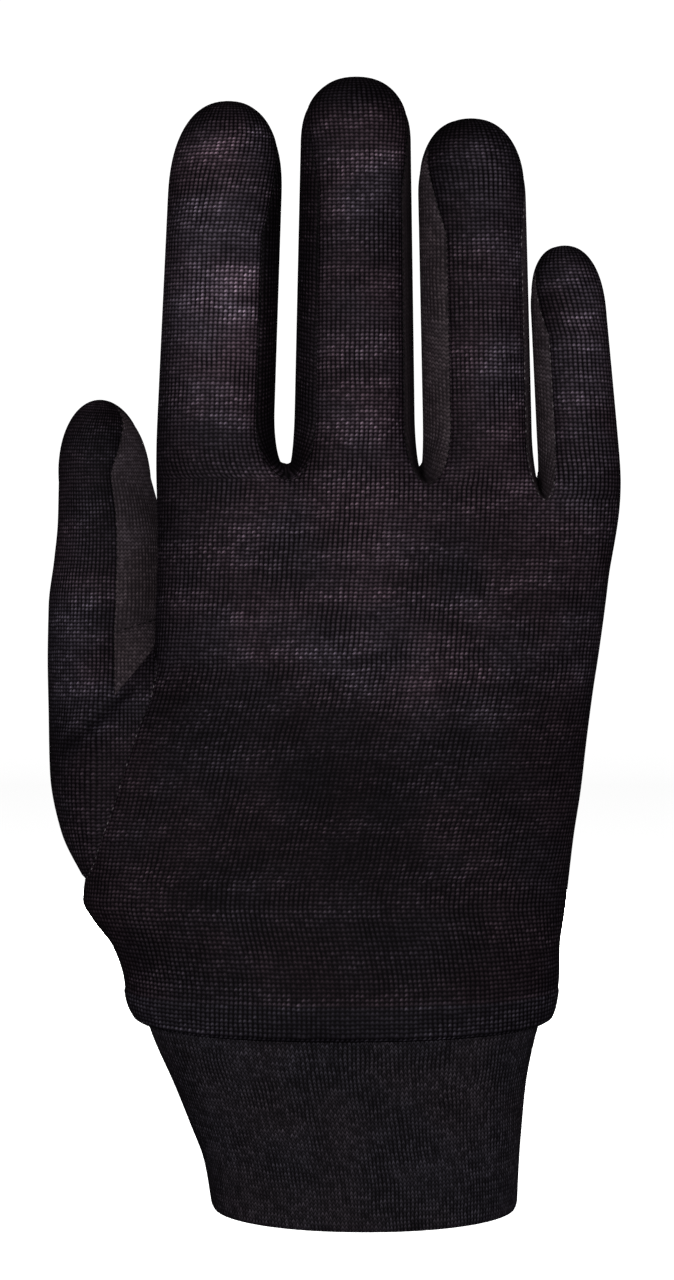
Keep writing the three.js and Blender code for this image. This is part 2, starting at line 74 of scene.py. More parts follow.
# Finer steps of the visual meshes between two of the part's rows, and across a piece.
HEEL_STEPS = 7
HOLE_STEPS = 5
KNUCKLE_STEPS = 6
NOTCH_STEPS = 5
SHAFT_STEPS = 7
DOME_STEPS = 6
FINGER_COLUMNS = 30
FOURCHETTE_COLUMNS = 16
THUMB_STEPS = 9
THUMB_WIDE_COLUMNS = 70
THUMB_INSET_COLUMNS = 30
CUFF_COLUMNS = 220
CUFF_ROWS = 48
# Share of the columns' spacing that crowds them towards the seams.
CROWDING = 0.6

# Exponents of the curves of the thumb's hole, the domes, the fingers' lean and the heel's rows.
HOLE_CURVE = 0.75
DOME_CURVE = 0.85
LEAN_CURVE = 1.6
HEEL_CURVE = 1.7
# Small steps that give directions: in degrees, in rows of the thumb and in millimetres.
TURN_STEP = 5
ROW_STEP = 0.2
LINE_STEP = 0.1
# The least length that is divided by, and the decimals to which points agree that are one point.
TINY = 1e-9
WELD_DECIMALS = 3
SHARP_DEGREES = 50
MILLIMETRES = 1000

# The seams: how deep the fabric turns in at one, and over what breadth.
SEAM_DROP = 0.36
SEAM_REACH = 1.5
# Points of a seam's curve: round the hole, across the thumb and up an edge.
ROUND_POINTS = 241
CROSS_POINTS = 61
EDGE_POINTS = 181
# By their number from the index finger: the fourchette of the darker knit, painted in shade, and the
# one that is sewn with a pale thread.
SHADED_FOURCHETTE = 0
PALE_FOURCHETTE = 2

# A stitch. Each of its rings is at a share of its half length and has a share of its thickness.
STITCH_SPACING = 1.5
STITCH_LONG = 0.75
STITCH_THICK = 0.28
STITCH_DEPTH = 0.2
STITCH_SIDES = 6
STITCH_RINGS = [(-0.65, 0.75), (0.0, 1.0), (0.65, 0.75)]
# A direction that no seam runs in.
OFF_SEAMS = [0.31, 0.87, 0.38]

# The hem band of the hand, and the share of a seam's drop that its lower edge is spared.
BAND_HEIGHT = 6.0
BAND_LIFT = 0.25
BAND_EDGE = 0.6
HEM_SHARE = 0.7

# The crease across the thumb's base: its ends across and up, its breadth and depth, and the shares
# of its length between which it deepens and dies out.
CREASE_START = np.array([-45.9, 105.8])
CREASE_END = np.array([-61.5, 92.0])
CREASE_WIDE = 1.2
CREASE_DEEP = 0.5
CREASE_DEEPENS = (-0.045, 0.105)
CREASE_DIES_OUT = (0.75, 1.05)

# The knit: breadth of a wale and height of a course.
WALE = 0.96
COURSE = 0.80
CUFF_WALE = 0.86
CUFF_COURSE = 0.84
THUMB_COURSE = 0.78
# The thumb's wales in a whole turn round an upright axis, the axis in percent across, half the
# thumb's breadth, and the share of it past which the wales are spaced as on a flat sheet.
THUMB_WALES = 87
THUMB_AXIS_X = -59
THUMB_HALF = 12.0
FLAT_SHARE = 0.6
# How far the wales draw together towards a fingertip, from 0, not at all, to 1, all of them.
CONVERGENCE = 0.6


def columns(names, rows):
    """A table as one array for each named column."""
    return dict(zip(names.split(), np.array(rows, float).T))


def records(names, rows):
    """A table as one record for each row."""
    return [Record(**dict(zip(names.split(), row))) for row in rows]


# Percent of the glove's length, of the hand's breadth and of the wrist's depth, as in the source.
HAND = columns("up left right back palm square", [
    (17.0, -49.1, 39.6, 45, 46, 2.2),
    (17.5, -52.0, 42.3, 47.5, 48, 2.2),
    (19.0, -53.7, 43.4, 48.5, 49.5, 2.2),
    (21.0, -54.5, 44.0, 48, 50, 2.2),
    (23.5, -56.9, 44.1, 47, 51, 2.3),
    (25.7, -61.2, 44.9, 46, 51, 2.3),
    (27.4, -63.6, 45.5, 45, 50, 2.3),
    (29.1, -63.2, 46.0, 44, 49, 2.4),
    (33.0, -64.4, 47.2, 42, 46, 2.5),
    (37.0, -63.2, 48.8, 40, 43, 2.5),
    (41.3, -59.3, 50.1, 38.5, 40, 2.5),
    (45.7, -51.9, 51.6, 37.5, 38, 2.5),
    (48.7, -47.5, 52.8, 37, 37, 2.5),
    (53.5, -47.0, 54.5, 36, 36, 2.5),
    (58.7, -46.6, 56.0, 34.5, 35, 2.6),
    (63.9, -46.4, 57.1, 32, 34, 2.6),
    (69.6, -46.4, 57.5, 29, 32, 2.6),
])
CUFF = columns("up left right back palm square", [
    (0.8, -34.4, 34.4, 50, 50, 2.1),
    (4.8, -36.2, 34.9, 49, 49, 2.1),
    (8.3, -39.6, 35.6, 48, 48, 2.1),
    (11.7, -43.2, 36.5, 47, 47, 2.1),
    (15.2, -47.3, 38.3, 45.5, 46.5, 2.2),
    (17.0, -49.1, 39.6, 45, 46, 2.2),
])
# The last column is each finger's tone: partly its stretch and partly a painted sheen.
FINGERS = records(
    "name foot_x tip_x foot_y tip_y foot tip half top_half deep"
    " back_left back_right palm_left palm_right end_left end_right taut",
    [
        ("index", -34.1, -30.8, 0, 13, 88.4, 97.1, 13.3, 12.9, 0.8, -96, 45, -96, 125, -96, 84, 1.1),
        ("middle", -2.3, -1.9, -3, 12, 93.0, 99.2, 13.8, 12.5, 0.8, -41, 57, -125, 125, -84, 96, 0.6),
        ("ring", 25.7, 24.0, -1, 14, 88.4, 95.6, 12.3, 12.2, 0.82, -31, 64, -118, 132, -74, 106, 0.55),
        ("little", 48.8, 45.4, 5, 20, 78.3, 84.6, 9.4, 8.6, 0.84, -37, 96, -118, 96, -77, 96, 0.64),
    ],
)
# Lighter and darker places on the hand, partly stretched and slack fabric and partly painted sheen
# and shade: millimetres, and the change of tone.
STRETCH_AND_SHEEN_SPOTS = records("x z wide high more", [
    (0, 119, 5, 14, 0.2),
    (11, 107, 5, 13, 0.26),
    (23, 106, 5, 11, 0.14),
    (-20, 118, 9, 6, 0.16),
    (40, 120, 10, 12, -0.08),
    (-38, 108, 10, 14, -0.14),
    (-30, 176, 20, 12, 0.12),
    (-27, 215, 15, 9, -0.34),
    (0, 205, 14, 12, 0.12),
    (3, 214, 9, 5, 0.16),
    (25, 209, 8, 5, 0.18),
    (42, 176, 5, 12, 0.08),
    (0, 43, 60, 5, 0.04),
])

# Tones of the knit, which hold painted sheen and shade besides the fabric's own tone: 0 is the dark
# between its threads, and about 1 is a fully stretched finger in painted sheen.
# A span is two heights in millimetres, or two shares, between which one tone turns into another.
# Other pairs are a middle and a reach. The thumb is darkened with painted shade by the shares
# in_crease to at_tip, and ridge is a painted sheen.
# falloff is how fast the painted side shade darkens the tone towards the sides, and cool how blue the
# thread is.
HAND_TONE = Record(
    slack=0.23, knuckles=0.52, knuckle_span=(97, 119), finger_span=(142, 188),
    tip=0.35, under_tip_span=(1, 10), band=0.08, band_cool=0.9,
    line=0.16, line_over_band=0.6, line_half=0.5,
    hand_falloff=0.6, finger_falloff=2.6, falloff_span=(100, 140),
)
THUMB_TONE = Record(
    foot=0.25, shaft=0.45, shaft_span=(92, 106), ridge=0.1, ridge_z=(124, 14),
    in_crease=0.7, by_hole=0.6, hole_x=(-43, 6), hole_z=(109, 9),
    by_panel=0.4, panel_x=(-51, 3), panel_span=(104, 112),
    at_tip=0.25, tip_span=(142, 158), falloff=0.5, cool=0.2,
)
CUFF_TONE = Record(tone=0.46, falloff=0.5, cool=0.3)
INSET_TONE = 1.15
# Painted light and shade: a fourchette takes one painted tone where its web faces up in the notch,
# and turns from the painted tone of one finger's side to the other's by which way it faces.
PAINTED_WEB_LIGHT = 0.5
WEB_SPAN = (0.3, 0.7)
STRIP_TURN = 1.5
# Painted shade: the sides are darkened to a share of the back's tone, and the fabric is painted
# lightest where it faces one way, as if lit from there. Fabric that faces up or down, with less than
# LEAST_LEVEL of its direction level, is darker.
SHADED_SIDE_SHARE = 0.22
LIT_WAY_ACROSS = 0.25
LIT_WAY_DEEP = 0.97
LEAST_LEVEL = 0.5
# The last two columns are the painted light and shade on the sides of the left and right fingers.
NOTCHES = records("name back_x palm_x back palm left_tone right_tone", [
    ("index_middle", -16.8, -17.9, 63.9, 65.5, 0.12, 0.18),
    ("middle_ring", 14.3, 12.1, 63.5, 65.2, 0.25, 1.35),
    ("ring_little", 41.0, 38.9, 62.2, 64.1, 0.6, 1.05),
])
THUMB = columns("row out_x out_up in_x in_up out_y in_y back palm hold", [
    (0, -62.9, 29.1, -47.3, 48.7, 0, 0, -22, 48, 1),
    (1, -68.4, 33.3, -47.0, 49.5, 5, 10, -21, 51, 0.62),
    (2, -71.2, 38.3, -46.5, 50.2, 12, 18, -14, 54, 0.3),
    (3, -71.8, 43.7, -45.9, 51.0, 20, 25, -6, 56, 0.1),
    (4, -72.2, 48.9, -45.5, 52.0, 26, 30, 1, 57, 0),
    (5, -72.1, 53.0, -45.1, 55.2, 30, 32, 6, 57, 0),
    (6, -70.9, 57.0, -45.7, 58.5, 32, 33, 9.5, 56, 0),
    (7, -70.1, 60.4, -46.8, 61.3, 34, 34, 12, 55, 0),
    (8, -69.9, 63.9, -48.8, 64.3, 35, 35, 15, 53, 0),
])
THUMB_LAST = 8
THUMB_TIP_ROW = THUMB_LAST + THUMB_DOME_ROWS
THUMB_TIP = Record(x=-60.8, up=71.2, y=37)
PANEL_EDGES = columns("row near far", [
    (GUSSET_ROW, 10, 110),
    (8, 10, 110),
    (9, 25, 104),
    (10, 46, 86),
    (PANEL_END_ROW, 66, 66),
])


def up(percent):
    return percent / 100 * GLOVE_LENGTH


def across(percent):
    return percent / 100 * HAND_BREADTH


def deep(percent):
    return percent / 100 * WRIST_DEPTH


# Heights of the hem, the thumb's lowest and highest points on the hand, and the first notch.
HEM = up(HAND["up"][0])
HEEL = up(THUMB["out_up"][0])
CROTCH = up(THUMB["in_up"][0])
FIRST_NOTCH = up(NOTCHES[0].back)


def mix(a, b, share):
    return a + (b - a) * share


def clamp(value):
    return np.clip(value, 0, 1)


def ease(value):
    value = clamp(value)
    return value**2 * (3 - 2 * value)


def ramp(value, span):
    """Rises smoothly from 0 at the start of a span to 1 at its end."""
    return ease((value - span[0]) / (span[1] - span[0]))


def hump(value, middle, reach):
    """1 at the middle, and next to nothing at twice the reach from it."""
    return np.exp(-(((value - middle) / reach) ** 2))


def sine(degrees):
    return np.sin(np.radians(degrees))


def cosine(degrees):
    return np.cos(np.radians(degrees))


def power(value, exponent):
    return np.sign(value) * np.abs(value) ** exponent


def points(x, y, z):
    return np.stack(np.broadcast_arrays(x, y, z), axis=-1).astype(float)


def unit(ways):
    return ways / np.maximum(np.linalg.norm(ways, axis=-1, keepdims=True), TINY)


def look_up(table, key, at, column):
    """A column of a table at any values of its key, smooth between rows."""
    keys, values = table[key], table[column]
    at = np.clip(at, keys[0], keys[-1])
    row = np.clip(np.searchsorted(keys, at) - 1, 0, len(keys) - 2)
    chords = np.diff(values) / np.diff(keys)
    before, after = chords[:-1], chords[1:]
    both = before * after > 0
    middle = np.where(both, 2 * before * after / np.where(both, before + after, 1), 0)
    slopes = np.concatenate([chords[:1], middle, chords[-1:]])
    span = keys[row + 1] - keys[row]
    share = (at - keys[row]) / span
    bow = share * (1 - share) * ((1 - share) * slopes[row] - share * slopes[row + 1])
    return mix(values[row], values[row + 1], ease(share)) + span * bow


def record_at(table, key, at):
    """All the other columns of a table at any values of its key."""
    names = [name for name in table if name != key]
    return Record(**{name: look_up(table, key, at, name) for name in names})


def section_at(table, height, depth):
    """The section of a sleeve at a height, shrunk by a depth under its surface."""
    at = record_at(table, "up", height / GLOVE_LENGTH * 100)
    left, right = across(at.left), across(at.right)
    return Record(
        middle=(left + right) / 2,
        half=(right - left) / 2 - depth,
        back=deep(at.back) - depth,
        palm=deep(at.palm) - depth,
        square=at.square,
    )


def sleeve_point(table, angle, height, depth):
    """A point on a sleeve: angle 0 is mid back, 90 the little finger's side, 180 mid palm."""
    section = section_at(table, height, depth)
    reach = np.where(cosine(angle) > 0, section.back, section.palm)
    sag = HEM_SAG * np.abs(cosine(angle)) * (1 - ramp(height, (HEM, HEEL)))
    return points(
        section.middle + section.half * power(sine(angle), 2 / section.square),
        -reach * power(cosine(angle), 2 / section.square),
        height - sag,
    )


def hand_point(angle, height, depth):
    return sleeve_point(HAND, angle, height, depth)


def angle_across(x, height, on_palm):
    """The angle on the hand's back or palm that lies at a place across."""
    section = section_at(HAND, height, 0)
    share = np.clip((x - section.middle) / section.half, -1, 1)
    angle = np.degrees(np.arcsin(power(share, section.square / 2)))
    return 180 - angle if on_palm else angle


def hole_angle(turn):
    """The angle round the hand of the thumb's seam, from that round the thumb."""
    swing = np.abs(cosine(turn)) ** HOLE_CURVE
    back = BACK_SWING * swing - SIDE_SEAM
    return np.where(cosine(turn) > 0, back, -SIDE_SEAM - PALM_SWING * swing)


def hole_height(turn):
    return mix(HEEL, CROTCH, (1 + sine(turn)) / 2)


def hole_point(turn, depth):
    return hand_point(hole_angle(turn), hole_height(turn), depth)


def ring_point(turn, row):
    """A point on a ring of the thumb, or past the last ring on its dome."""
    bend = np.maximum(0, row - THUMB_LAST) / THUMB_DOME_ROWS * 90
    at = record_at(THUMB, "row", row)
    outer = points(across(at.out_x), deep(at.out_y), up(at.out_up))
    inner = points(across(at.in_x), deep(at.in_y), up(at.in_up))
    centre = (outer + inner) / 2
    round_up = cosine(bend)
    reach = (inner - centre) * round_up[..., None]
    back = (centre[..., 1] - deep(at.back)) * round_up
    palm = (deep(at.palm) - centre[..., 1]) * round_up
    tip = points(across(THUMB_TIP.x), deep(THUMB_TIP.y), up(THUMB_TIP.up))
    made = mix(centre, tip, sine(bend)[..., None]) + reach * sine(turn)[..., None]
    made[..., 1] -= np.where(cosine(turn) > 0, back, palm) * cosine(turn)
    return made


def thumb_hold(row):
    return look_up(THUMB, "row", row, "hold")[..., None]


def thumb_surface(turn, row):
    """A point on the thumb: turn 90 faces the index finger, 0 the back, -90 outwards."""
    turn, row = np.broadcast_arrays(np.asarray(turn, float), np.asarray(row, float))
    from_ring = hole_point(turn, 0) - ring_point(turn, np.zeros_like(row))
    return ring_point(turn, row) + from_ring * thumb_hold(row)


def thumb_point(turn, row, depth):
    """A point at a depth under the thumb's surface, as deep as the hand's edge at its seam."""
    turn, row = np.broadcast_arrays(np.asarray(turn, float), np.asarray(row, float))
    around = thumb_surface(turn + TURN_STEP, row) - thumb_surface(turn - TURN_STEP, row)
    under = np.maximum(0, row - ROW_STEP)
    normal = np.cross(around, thumb_surface(turn, row + ROW_STEP) - thumb_surface(turn, under))
    at_tip = row[..., None] > THUMB_TIP_ROW - ROW_STEP / 2
    normal = np.where(at_tip, [0.0, 0.0, 1.0], unit(normal))
    surface = thumb_surface(turn, row)
    at_seam = surface + hole_point(turn, depth) - hole_point(turn, 0)
    return mix(surface - depth * normal, at_seam, thumb_hold(row))


def finger_point(finger, angle, height, bend, depth):
    """A point of a finger at a height, or at a bend of 0 to 90 degrees up its dome."""
    foot, tip = up(finger.foot), up(finger.tip)
    z = np.where(bend > 0, foot + (tip - foot - depth) * sine(bend) ** DOME_CURVE, height)
    share = (z - FIRST_NOTCH) / (tip - FIRST_NOTCH)
    shaft = clamp((z - FIRST_NOTCH) / (foot - FIRST_NOTCH))
    round_up = np.maximum(cosine(bend), 0) ** DOME_CURVE
    width = across(mix(finger.half, finger.top_half, shaft))
    lean = deep(mix(finger.foot_y, finger.tip_y, clamp(share) ** LEAN_CURVE))
    return points(
        across(mix(finger.foot_x, finger.tip_x, share)) + (width - depth) * round_up * sine(angle),
        lean - (width * finger.deep - depth) * round_up * cosine(angle),
        z,
    )


def row_height(finger, notch, row):
    """The height of a row of a finger over its notch."""
    low = notch + NOTCH_REACH * (1 - cosine(90 * clamp(row / NOTCH_ROWS)))
    share = clamp((row - NOTCH_ROWS) / SHAFT_ROWS)
    return np.where(row <= NOTCH_ROWS, low, mix(notch + NOTCH_REACH, up(finger.foot), share))


def row_bend(row):
    return 90 * np.maximum(0, row - NOTCH_ROWS - SHAFT_ROWS) / DOME_ROWS


def notch_bend(row):
    return 90 * clamp(row / NOTCH_ROWS)


def edge_across(row):
    return sine(notch_bend(row))


def edge_deep(row):
    return ease(1 - cosine(notch_bend(row)))


def to_finger(on_hand, on_finger, share_across, share_deep):
    """Goes from hand to finger by one share across and up, another in depth."""
    return points(
        mix(on_hand[..., 0], on_finger[..., 0], share_across),
        mix(on_hand[..., 1], on_finger[..., 1], share_deep),
        mix(on_hand[..., 2], on_finger[..., 2], share_across),
    )


def finger_edges(index, row, on_palm):
    """The angles that bound a finger's back or palm: they close near the tip."""
    finger = FINGERS[index]
    left = finger.palm_left if on_palm else finger.back_left
    right = finger.palm_right if on_palm else finger.back_right
    close = clamp((row - TAPER_START) / (TAPER_END - TAPER_START))
    whole = 360 if on_palm else 0
    return mix(left, finger.end_left, close) + whole, mix(right, finger.end_right, close)


def notch_height(notch, on_palm):
    return up(notch.palm if on_palm else notch.back)


def notches_beside(index, on_palm):
    left = NOTCHES[max(0, index - 1)]
    right = NOTCHES[min(len(NOTCHES) - 1, index)]
    return notch_height(left, on_palm), notch_height(right, on_palm)


def hand_edges(height, on_palm):
    """The angles on the hand at its two edges and under each notch, at a height."""
    rise = np.clip(2 * (height - HEEL) / (CROTCH - HEEL) - 1, -1, 1)
    turn = np.degrees(np.arcsin(rise))
    edge = hole_angle(-180 - turn if on_palm else turn)
    left = edge + 360 if on_palm else edge
    right = np.full_like(left, SIDE_SEAM)
    left_x = hand_point(left, height, 0)[..., 0]
    right_x = hand_point(right, height, 0)[..., 0]
    top = section_at(HAND, FIRST_NOTCH, 0)
    inner = []
    for notch in NOTCHES:
        x = across(notch.palm_x if on_palm else notch.back_x)
        share = (x - top.middle + top.half) / (2 * top.half)
        inner.append(angle_across(mix(left_x, right_x, share), height, on_palm))
    return [left, *inner, right]


def panel_height(index, on_palm, row, share):
    """The height of a row of the back or palm, and of the notch over it."""
    left, right = notches_beside(index, on_palm)
    notch = mix(left, right, share)
    low = mix(HEM, HEEL, clamp(row / HEEL_ROWS) ** HEEL_CURVE)
    hole = hole_height(180 * clamp((row - HEEL_ROWS) / THUMB_HOLE_ROWS) - 90)
    to_notch = (row - HEEL_ROWS - THUMB_HOLE_ROWS) / KNUCKLE_ROWS
    finger_row = row - HAND_ROWS
    over = row_height(FINGERS[index], notch, finger_row)
    height = np.where(row < HEEL_ROWS, low, hole)
    height = np.where(to_notch > 0, mix(CROTCH, notch, clamp(to_notch)), height)
    return np.where(finger_row > 0, over, height), notch


def panel_point(index, on_palm, row, share, depth):
    """A point of the back or palm: share 0 is a finger's left edge, below it the hand."""
    finger = FINGERS[index]
    height, notch = panel_height(index, on_palm, row, share)
    finger_row = row - HAND_ROWS
    edges = hand_edges(height, on_palm)
    on_hand = hand_point(mix(edges[index], edges[index + 1], share), height, depth)
    closed = 2 * share - 1
    open_left = (index == 0) & (closed < 0)
    open_right = (index == len(FINGERS) - 1) & (closed > 0)
    edge = np.where(open_left | open_right, 0, closed**2)
    swell = ease((height - notch + KNUCKLE_REACH) / (KNUCKLE_REACH + NOTCH_REACH))
    valley = VALLEY * edge * ease((height - notch + KNUCKLE_REACH) / KNUCKLE_REACH)
    on_hand[..., 1] += -valley if on_palm else valley
    on_hand[..., 2] -= np.where(finger_row >= 0, depth * edge, 0)
    left, right = finger_edges(index, finger_row, on_palm)
    on_finger = finger_point(
        finger, mix(left, right, share), height, row_bend(finger_row), depth
    )
    share_across = mix(swell, edge_across(finger_row), edge)
    share_deep = mix(swell, edge_deep(finger_row), edge)
    joined = to_finger(on_hand, on_finger, share_across, share_deep)
    return np.where((finger_row > NOTCH_ROWS)[..., None], on_finger, joined)


def fourchette_point(index, side, row, share, depth):
    """A point of a fourchette's half on one of its two fingers: row 0 is the notch."""
    finger = FINGERS[index + side]
    notch = NOTCHES[index]
    back = row_height(finger, notch_height(notch, False), row)
    palm = row_height(finger, notch_height(notch, True), row)
    on_back = hand_point(hand_edges(back, False)[index + 1], back, depth)
    on_palm = hand_point(hand_edges(palm, True)[index + 1], palm, depth)
    on_back[..., 1] += VALLEY
    on_palm[..., 1] -= VALLEY
    web = mix(on_back, on_palm, share[..., None])
    web[..., 2] -= depth
    edge = 0 if side else 1
    start = finger_edges(index + side, row, False)[edge]
    end = finger_edges(index + side, row, True)[edge] - (360 if side else 0)
    on_finger = finger_point(
        finger, mix(start, end, share), mix(back, palm, share), row_bend(row), depth
    )
    return to_finger(web, on_finger, edge_across(row), edge_deep(row))


def crowded(count):
    """Shares from 0 to 1 that lie closer together near both ends."""
    even = np.linspace(0, 1, count + 1)
    return mix(even, (1 - np.cos(math.pi * even)) / 2, CROWDING)


def grid_of(rows, across_rows):
    return np.meshgrid(rows, across_rows, indexing="ij")


def stepped(*parts):
    """Rows from 0 up, each part being a number of rows and the finer steps in each."""
    made = [0.0]
    for rows, steps in parts:
        made.extend(made[-1] + (1 + np.arange(rows * steps)) / steps)
    return np.array(made)


def lengths(grid, axis):
    """The length run along a grid of points, from its first row or column."""
    steps = np.linalg.norm(np.diff(grid, axis=axis), axis=-1)
    start = np.zeros_like(np.take(steps, [0], axis=axis))
    return np.concatenate([start, np.cumsum(steps, axis=axis)], axis=axis)


def patch(outer, inner, knit):
    """A grid of fabric, with its place in stitches at each point."""
    return Record(outer=outer, inner=inner, knit=knit)


def weld(patches):
    """Joins patches at their common points."""
    outer = np.concatenate([sheet.outer.reshape(-1, 3) for sheet in patches])
    inner = np.concatenate([sheet.inner.reshape(-1, 3) for sheet in patches])
    knit = np.concatenate([sheet.knit.reshape(-1, 2) for sheet in patches])
    _, first, place = np.unique(
        np.round(outer, WELD_DECIMALS), axis=0, return_index=True, return_inverse=True
    )
    place = place.ravel()
    corners = []
    start = 0
    for sheet in patches:
        rows, width = sheet.outer.shape[:2]
        ids = start + np.arange(rows * width).reshape(rows, width)
        quads = np.stack([ids[:-1, :-1], ids[:-1, 1:], ids[1:, 1:], ids[1:, :-1]], axis=-1)
        corners.append(quads.reshape(-1, 4))
        start += rows * width
    corners = np.concatenate(corners)
    joined = Record(outer=outer[first], inner=inner[first], knit=knit, place=place)
    joined.corners, joined.faces = corners, place[corners]
    return joined


def face_lists(surface):
    """The faces without repeated points, and the grid point of each corner."""
    faces, grid = [], []
    for face, corner in zip(surface.faces.tolist(), surface.corners.tolist()):
        kept = [n for n in range(4) if face[n] != face[n - 1]]
        if len(kept) > 2:
            faces.append([face[n] for n in kept])
            grid.append([corner[n] for n in kept])
    return faces, grid


def normals(spots, faces):
    """The way out at each point of a surface of quads."""
    corner = spots[faces]
    area = np.cross(corner[:, 2] - corner[:, 0], corner[:, 3] - corner[:, 1])
    made = np.zeros_like(spots)
    for n in range(4):
        np.add.at(made, faces[:, n], area)
    return unit(made)


def open_edges(faces):
    """The edges that lie on one face only, in that face's own direction."""
    edges = {}
    for face in faces:
        for a, b in zip(face, face[1:] + face[:1]):
            if edges.pop((b, a), None) is None:
                edges[(a, b)] = True
    return list(edges)


def seam_distance(spots, edges):
    """How far each point lies from the nearest open edge."""
    ends = sorted({end for edge in edges for end in edge})
    tree = kdtree.KDTree(len(ends))
    for end in ends:
        tree.insert(spots[end], end)
    tree.balance()
    return np.array([tree.find(spot)[2] for spot in spots])


def smooth_mesh(name, spots, faces):
    mesh = bpy.data.meshes.new(name)
    mesh.from_pydata(spots, [], faces)
    mesh.polygons.foreach_set("use_smooth", [True] * len(mesh.polygons))
    return mesh


def keep_shade(mesh, tone, cool):
    """Keeps each point's tone and coolness, on both sides of the wall."""
    one_side = np.broadcast_to(points(tone, cool, 0), (len(mesh.vertices) // 2, 3))
    shades = np.tile(one_side, (2, 1)).astype(np.float32)
    layer = mesh.attributes.new("Shade", "FLOAT_VECTOR", "POINT")
    layer.data.foreach_set("vector", shades.ravel())


def fabric_piece(name, patches, material, shade, relief=None):
    """A closed piece of fabric with a wall, turned in along its open edges."""
    surface = weld(patches)
    faces, grid = face_lists(surface)
    edges = open_edges(faces)
    count = len(surface.outer)
    outward = normals(surface.outer, surface.faces)
    knit = surface.knit
    spot_knit = np.zeros((count, 2))
    spot_knit[surface.place] = knit
    distance = seam_distance(surface.outer, edges)
    drop = SEAM_DROP * clamp(1 - distance / SEAM_REACH) ** 2
    outer = surface.outer - outward * drop[:, None]
    inner = surface.inner.copy()
    if relief:
        lift = relief(surface.outer, outward, spot_knit)[:, None] * outward
        outer += lift
        inner += lift
    all_faces = faces + [[count + n for n in reversed(face)] for face in faces]
    all_knit = [knit[corner] for corner in grid]
    all_knit += [knit[corner[::-1]] for corner in grid]
    for a, b in edges:
        all_faces.append([b, a, count + a, count + b])
        all_knit.append(spot_knit[[b, a, a, b]])
    mesh = smooth_mesh(name, np.concatenate([outer, inner]) / MILLIMETRES, all_faces)
    layer = mesh.uv_layers.new(name="Knit")
    layer.data.foreach_set("uv", np.concatenate(all_knit).astype(np.float32).ravel())
    keep_shade(mesh, *shade(surface.outer, outward, spot_knit))
    mesh.set_sharp_from_angle(angle=math.radians(SHARP_DEGREES))
    return finished(name, mesh, material)


def linked(name, data):
    made = bpy.data.objects.new(name, data)
    bpy.context.scene.collection.objects.link(made)
    return made


def finished(name, mesh, material):
    mesh.materials.append(material)
    piece = linked(name, mesh)
    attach(piece, "root")
    return piece


def over_hem(knit):
    """The height over the hem on the hand's panels, from their courses."""
    return knit[:, 1] * COURSE - HEM


def in_band(knit):
    """1 on the hem band and 0 over it."""
    return 1 - ease((over_hem(knit) - BAND_HEIGHT) / BAND_EDGE)


def hand_relief(spots, outward, knit):
    """The hem band stands out a little, and its lower edge isn't turned in as a seam is."""
    at_hem = HEM_SHARE * SEAM_DROP * (1 - ease(over_hem(knit) / SEAM_REACH))
    return BAND_LIFT * in_band(knit) + at_hem


def thumb_crease(spots, outward):
    """How near a point lies to the crease across the thumb's base."""
    way = CREASE_END - CREASE_START
    long = np.linalg.norm(way)
    beside = spots[:, [0, 2]] - CREASE_START
    off = (beside[:, 0] * way[1] - beside[:, 1] * way[0]) / long
    along = beside @ way / long**2
    ends = ramp(along, CREASE_DEEPENS) * (1 - ramp(along, CREASE_DIES_OUT))
    return hump(off, 0, CREASE_WIDE) * ends * (outward[:, 1] < 0)


def thumb_relief(spots, outward, knit):
    return -CREASE_DEEP * thumb_crease(spots, outward)


def painted_side_shade(outward, falloff):
    """1 near the middle of a back or palm, and less towards its sides, where shade is painted."""
    level = np.maximum(np.linalg.norm(outward[:, :2], axis=1), LEAST_LEVEL)
    facing = (LIT_WAY_DEEP * np.abs(outward[:, 1]) + LIT_WAY_ACROSS * outward[:, 0]) / level
    return mix(SHADED_SIDE_SHARE, 1, clamp(facing) ** falloff)


def hand_shade(spots, outward, knit):
    """Darker towards the wrist, lighter up the knuckles and fingers: stretch and painted sheen."""
    look = HAND_TONE
    x, z = spots[:, 0], spots[:, 2]
    feet = [across(finger.foot_x) for finger in FINGERS]
    # Each finger's tone is partly its stretch and partly painted sheen.
    on_finger = np.interp(x, feet, [finger.taut for finger in FINGERS])
    tip = np.interp(x, feet, [up(finger.tip) for finger in FINGERS])
    tone = mix(look.slack, look.knuckles, ramp(z, look.knuckle_span))
    tone = mix(tone, on_finger, ramp(z, look.finger_span))
    # Painted shade darkens the fingertips towards the tops of their domes.
    tone = tone * mix(look.tip, 1, ramp(tip - z, look.under_tip_span))
    # Painted sheen and shade in places, with stretched and slack fabric.
    for spot in STRETCH_AND_SHEEN_SPOTS:
        tone = tone + spot.more * hump(x, spot.x, spot.wide) * hump(z, spot.z, spot.high)
    band = in_band(knit)
    line = hump(over_hem(knit), BAND_HEIGHT + look.line_over_band, look.line_half)
    tone = tone + look.band * band + look.line * line
    # Painted shade towards the sides: slow on the hand, fast on the fingers.
    falloff = mix(look.hand_falloff, look.finger_falloff, ramp(z, look.falloff_span))
    return tone * painted_side_shade(outward, falloff), look.band_cool * band


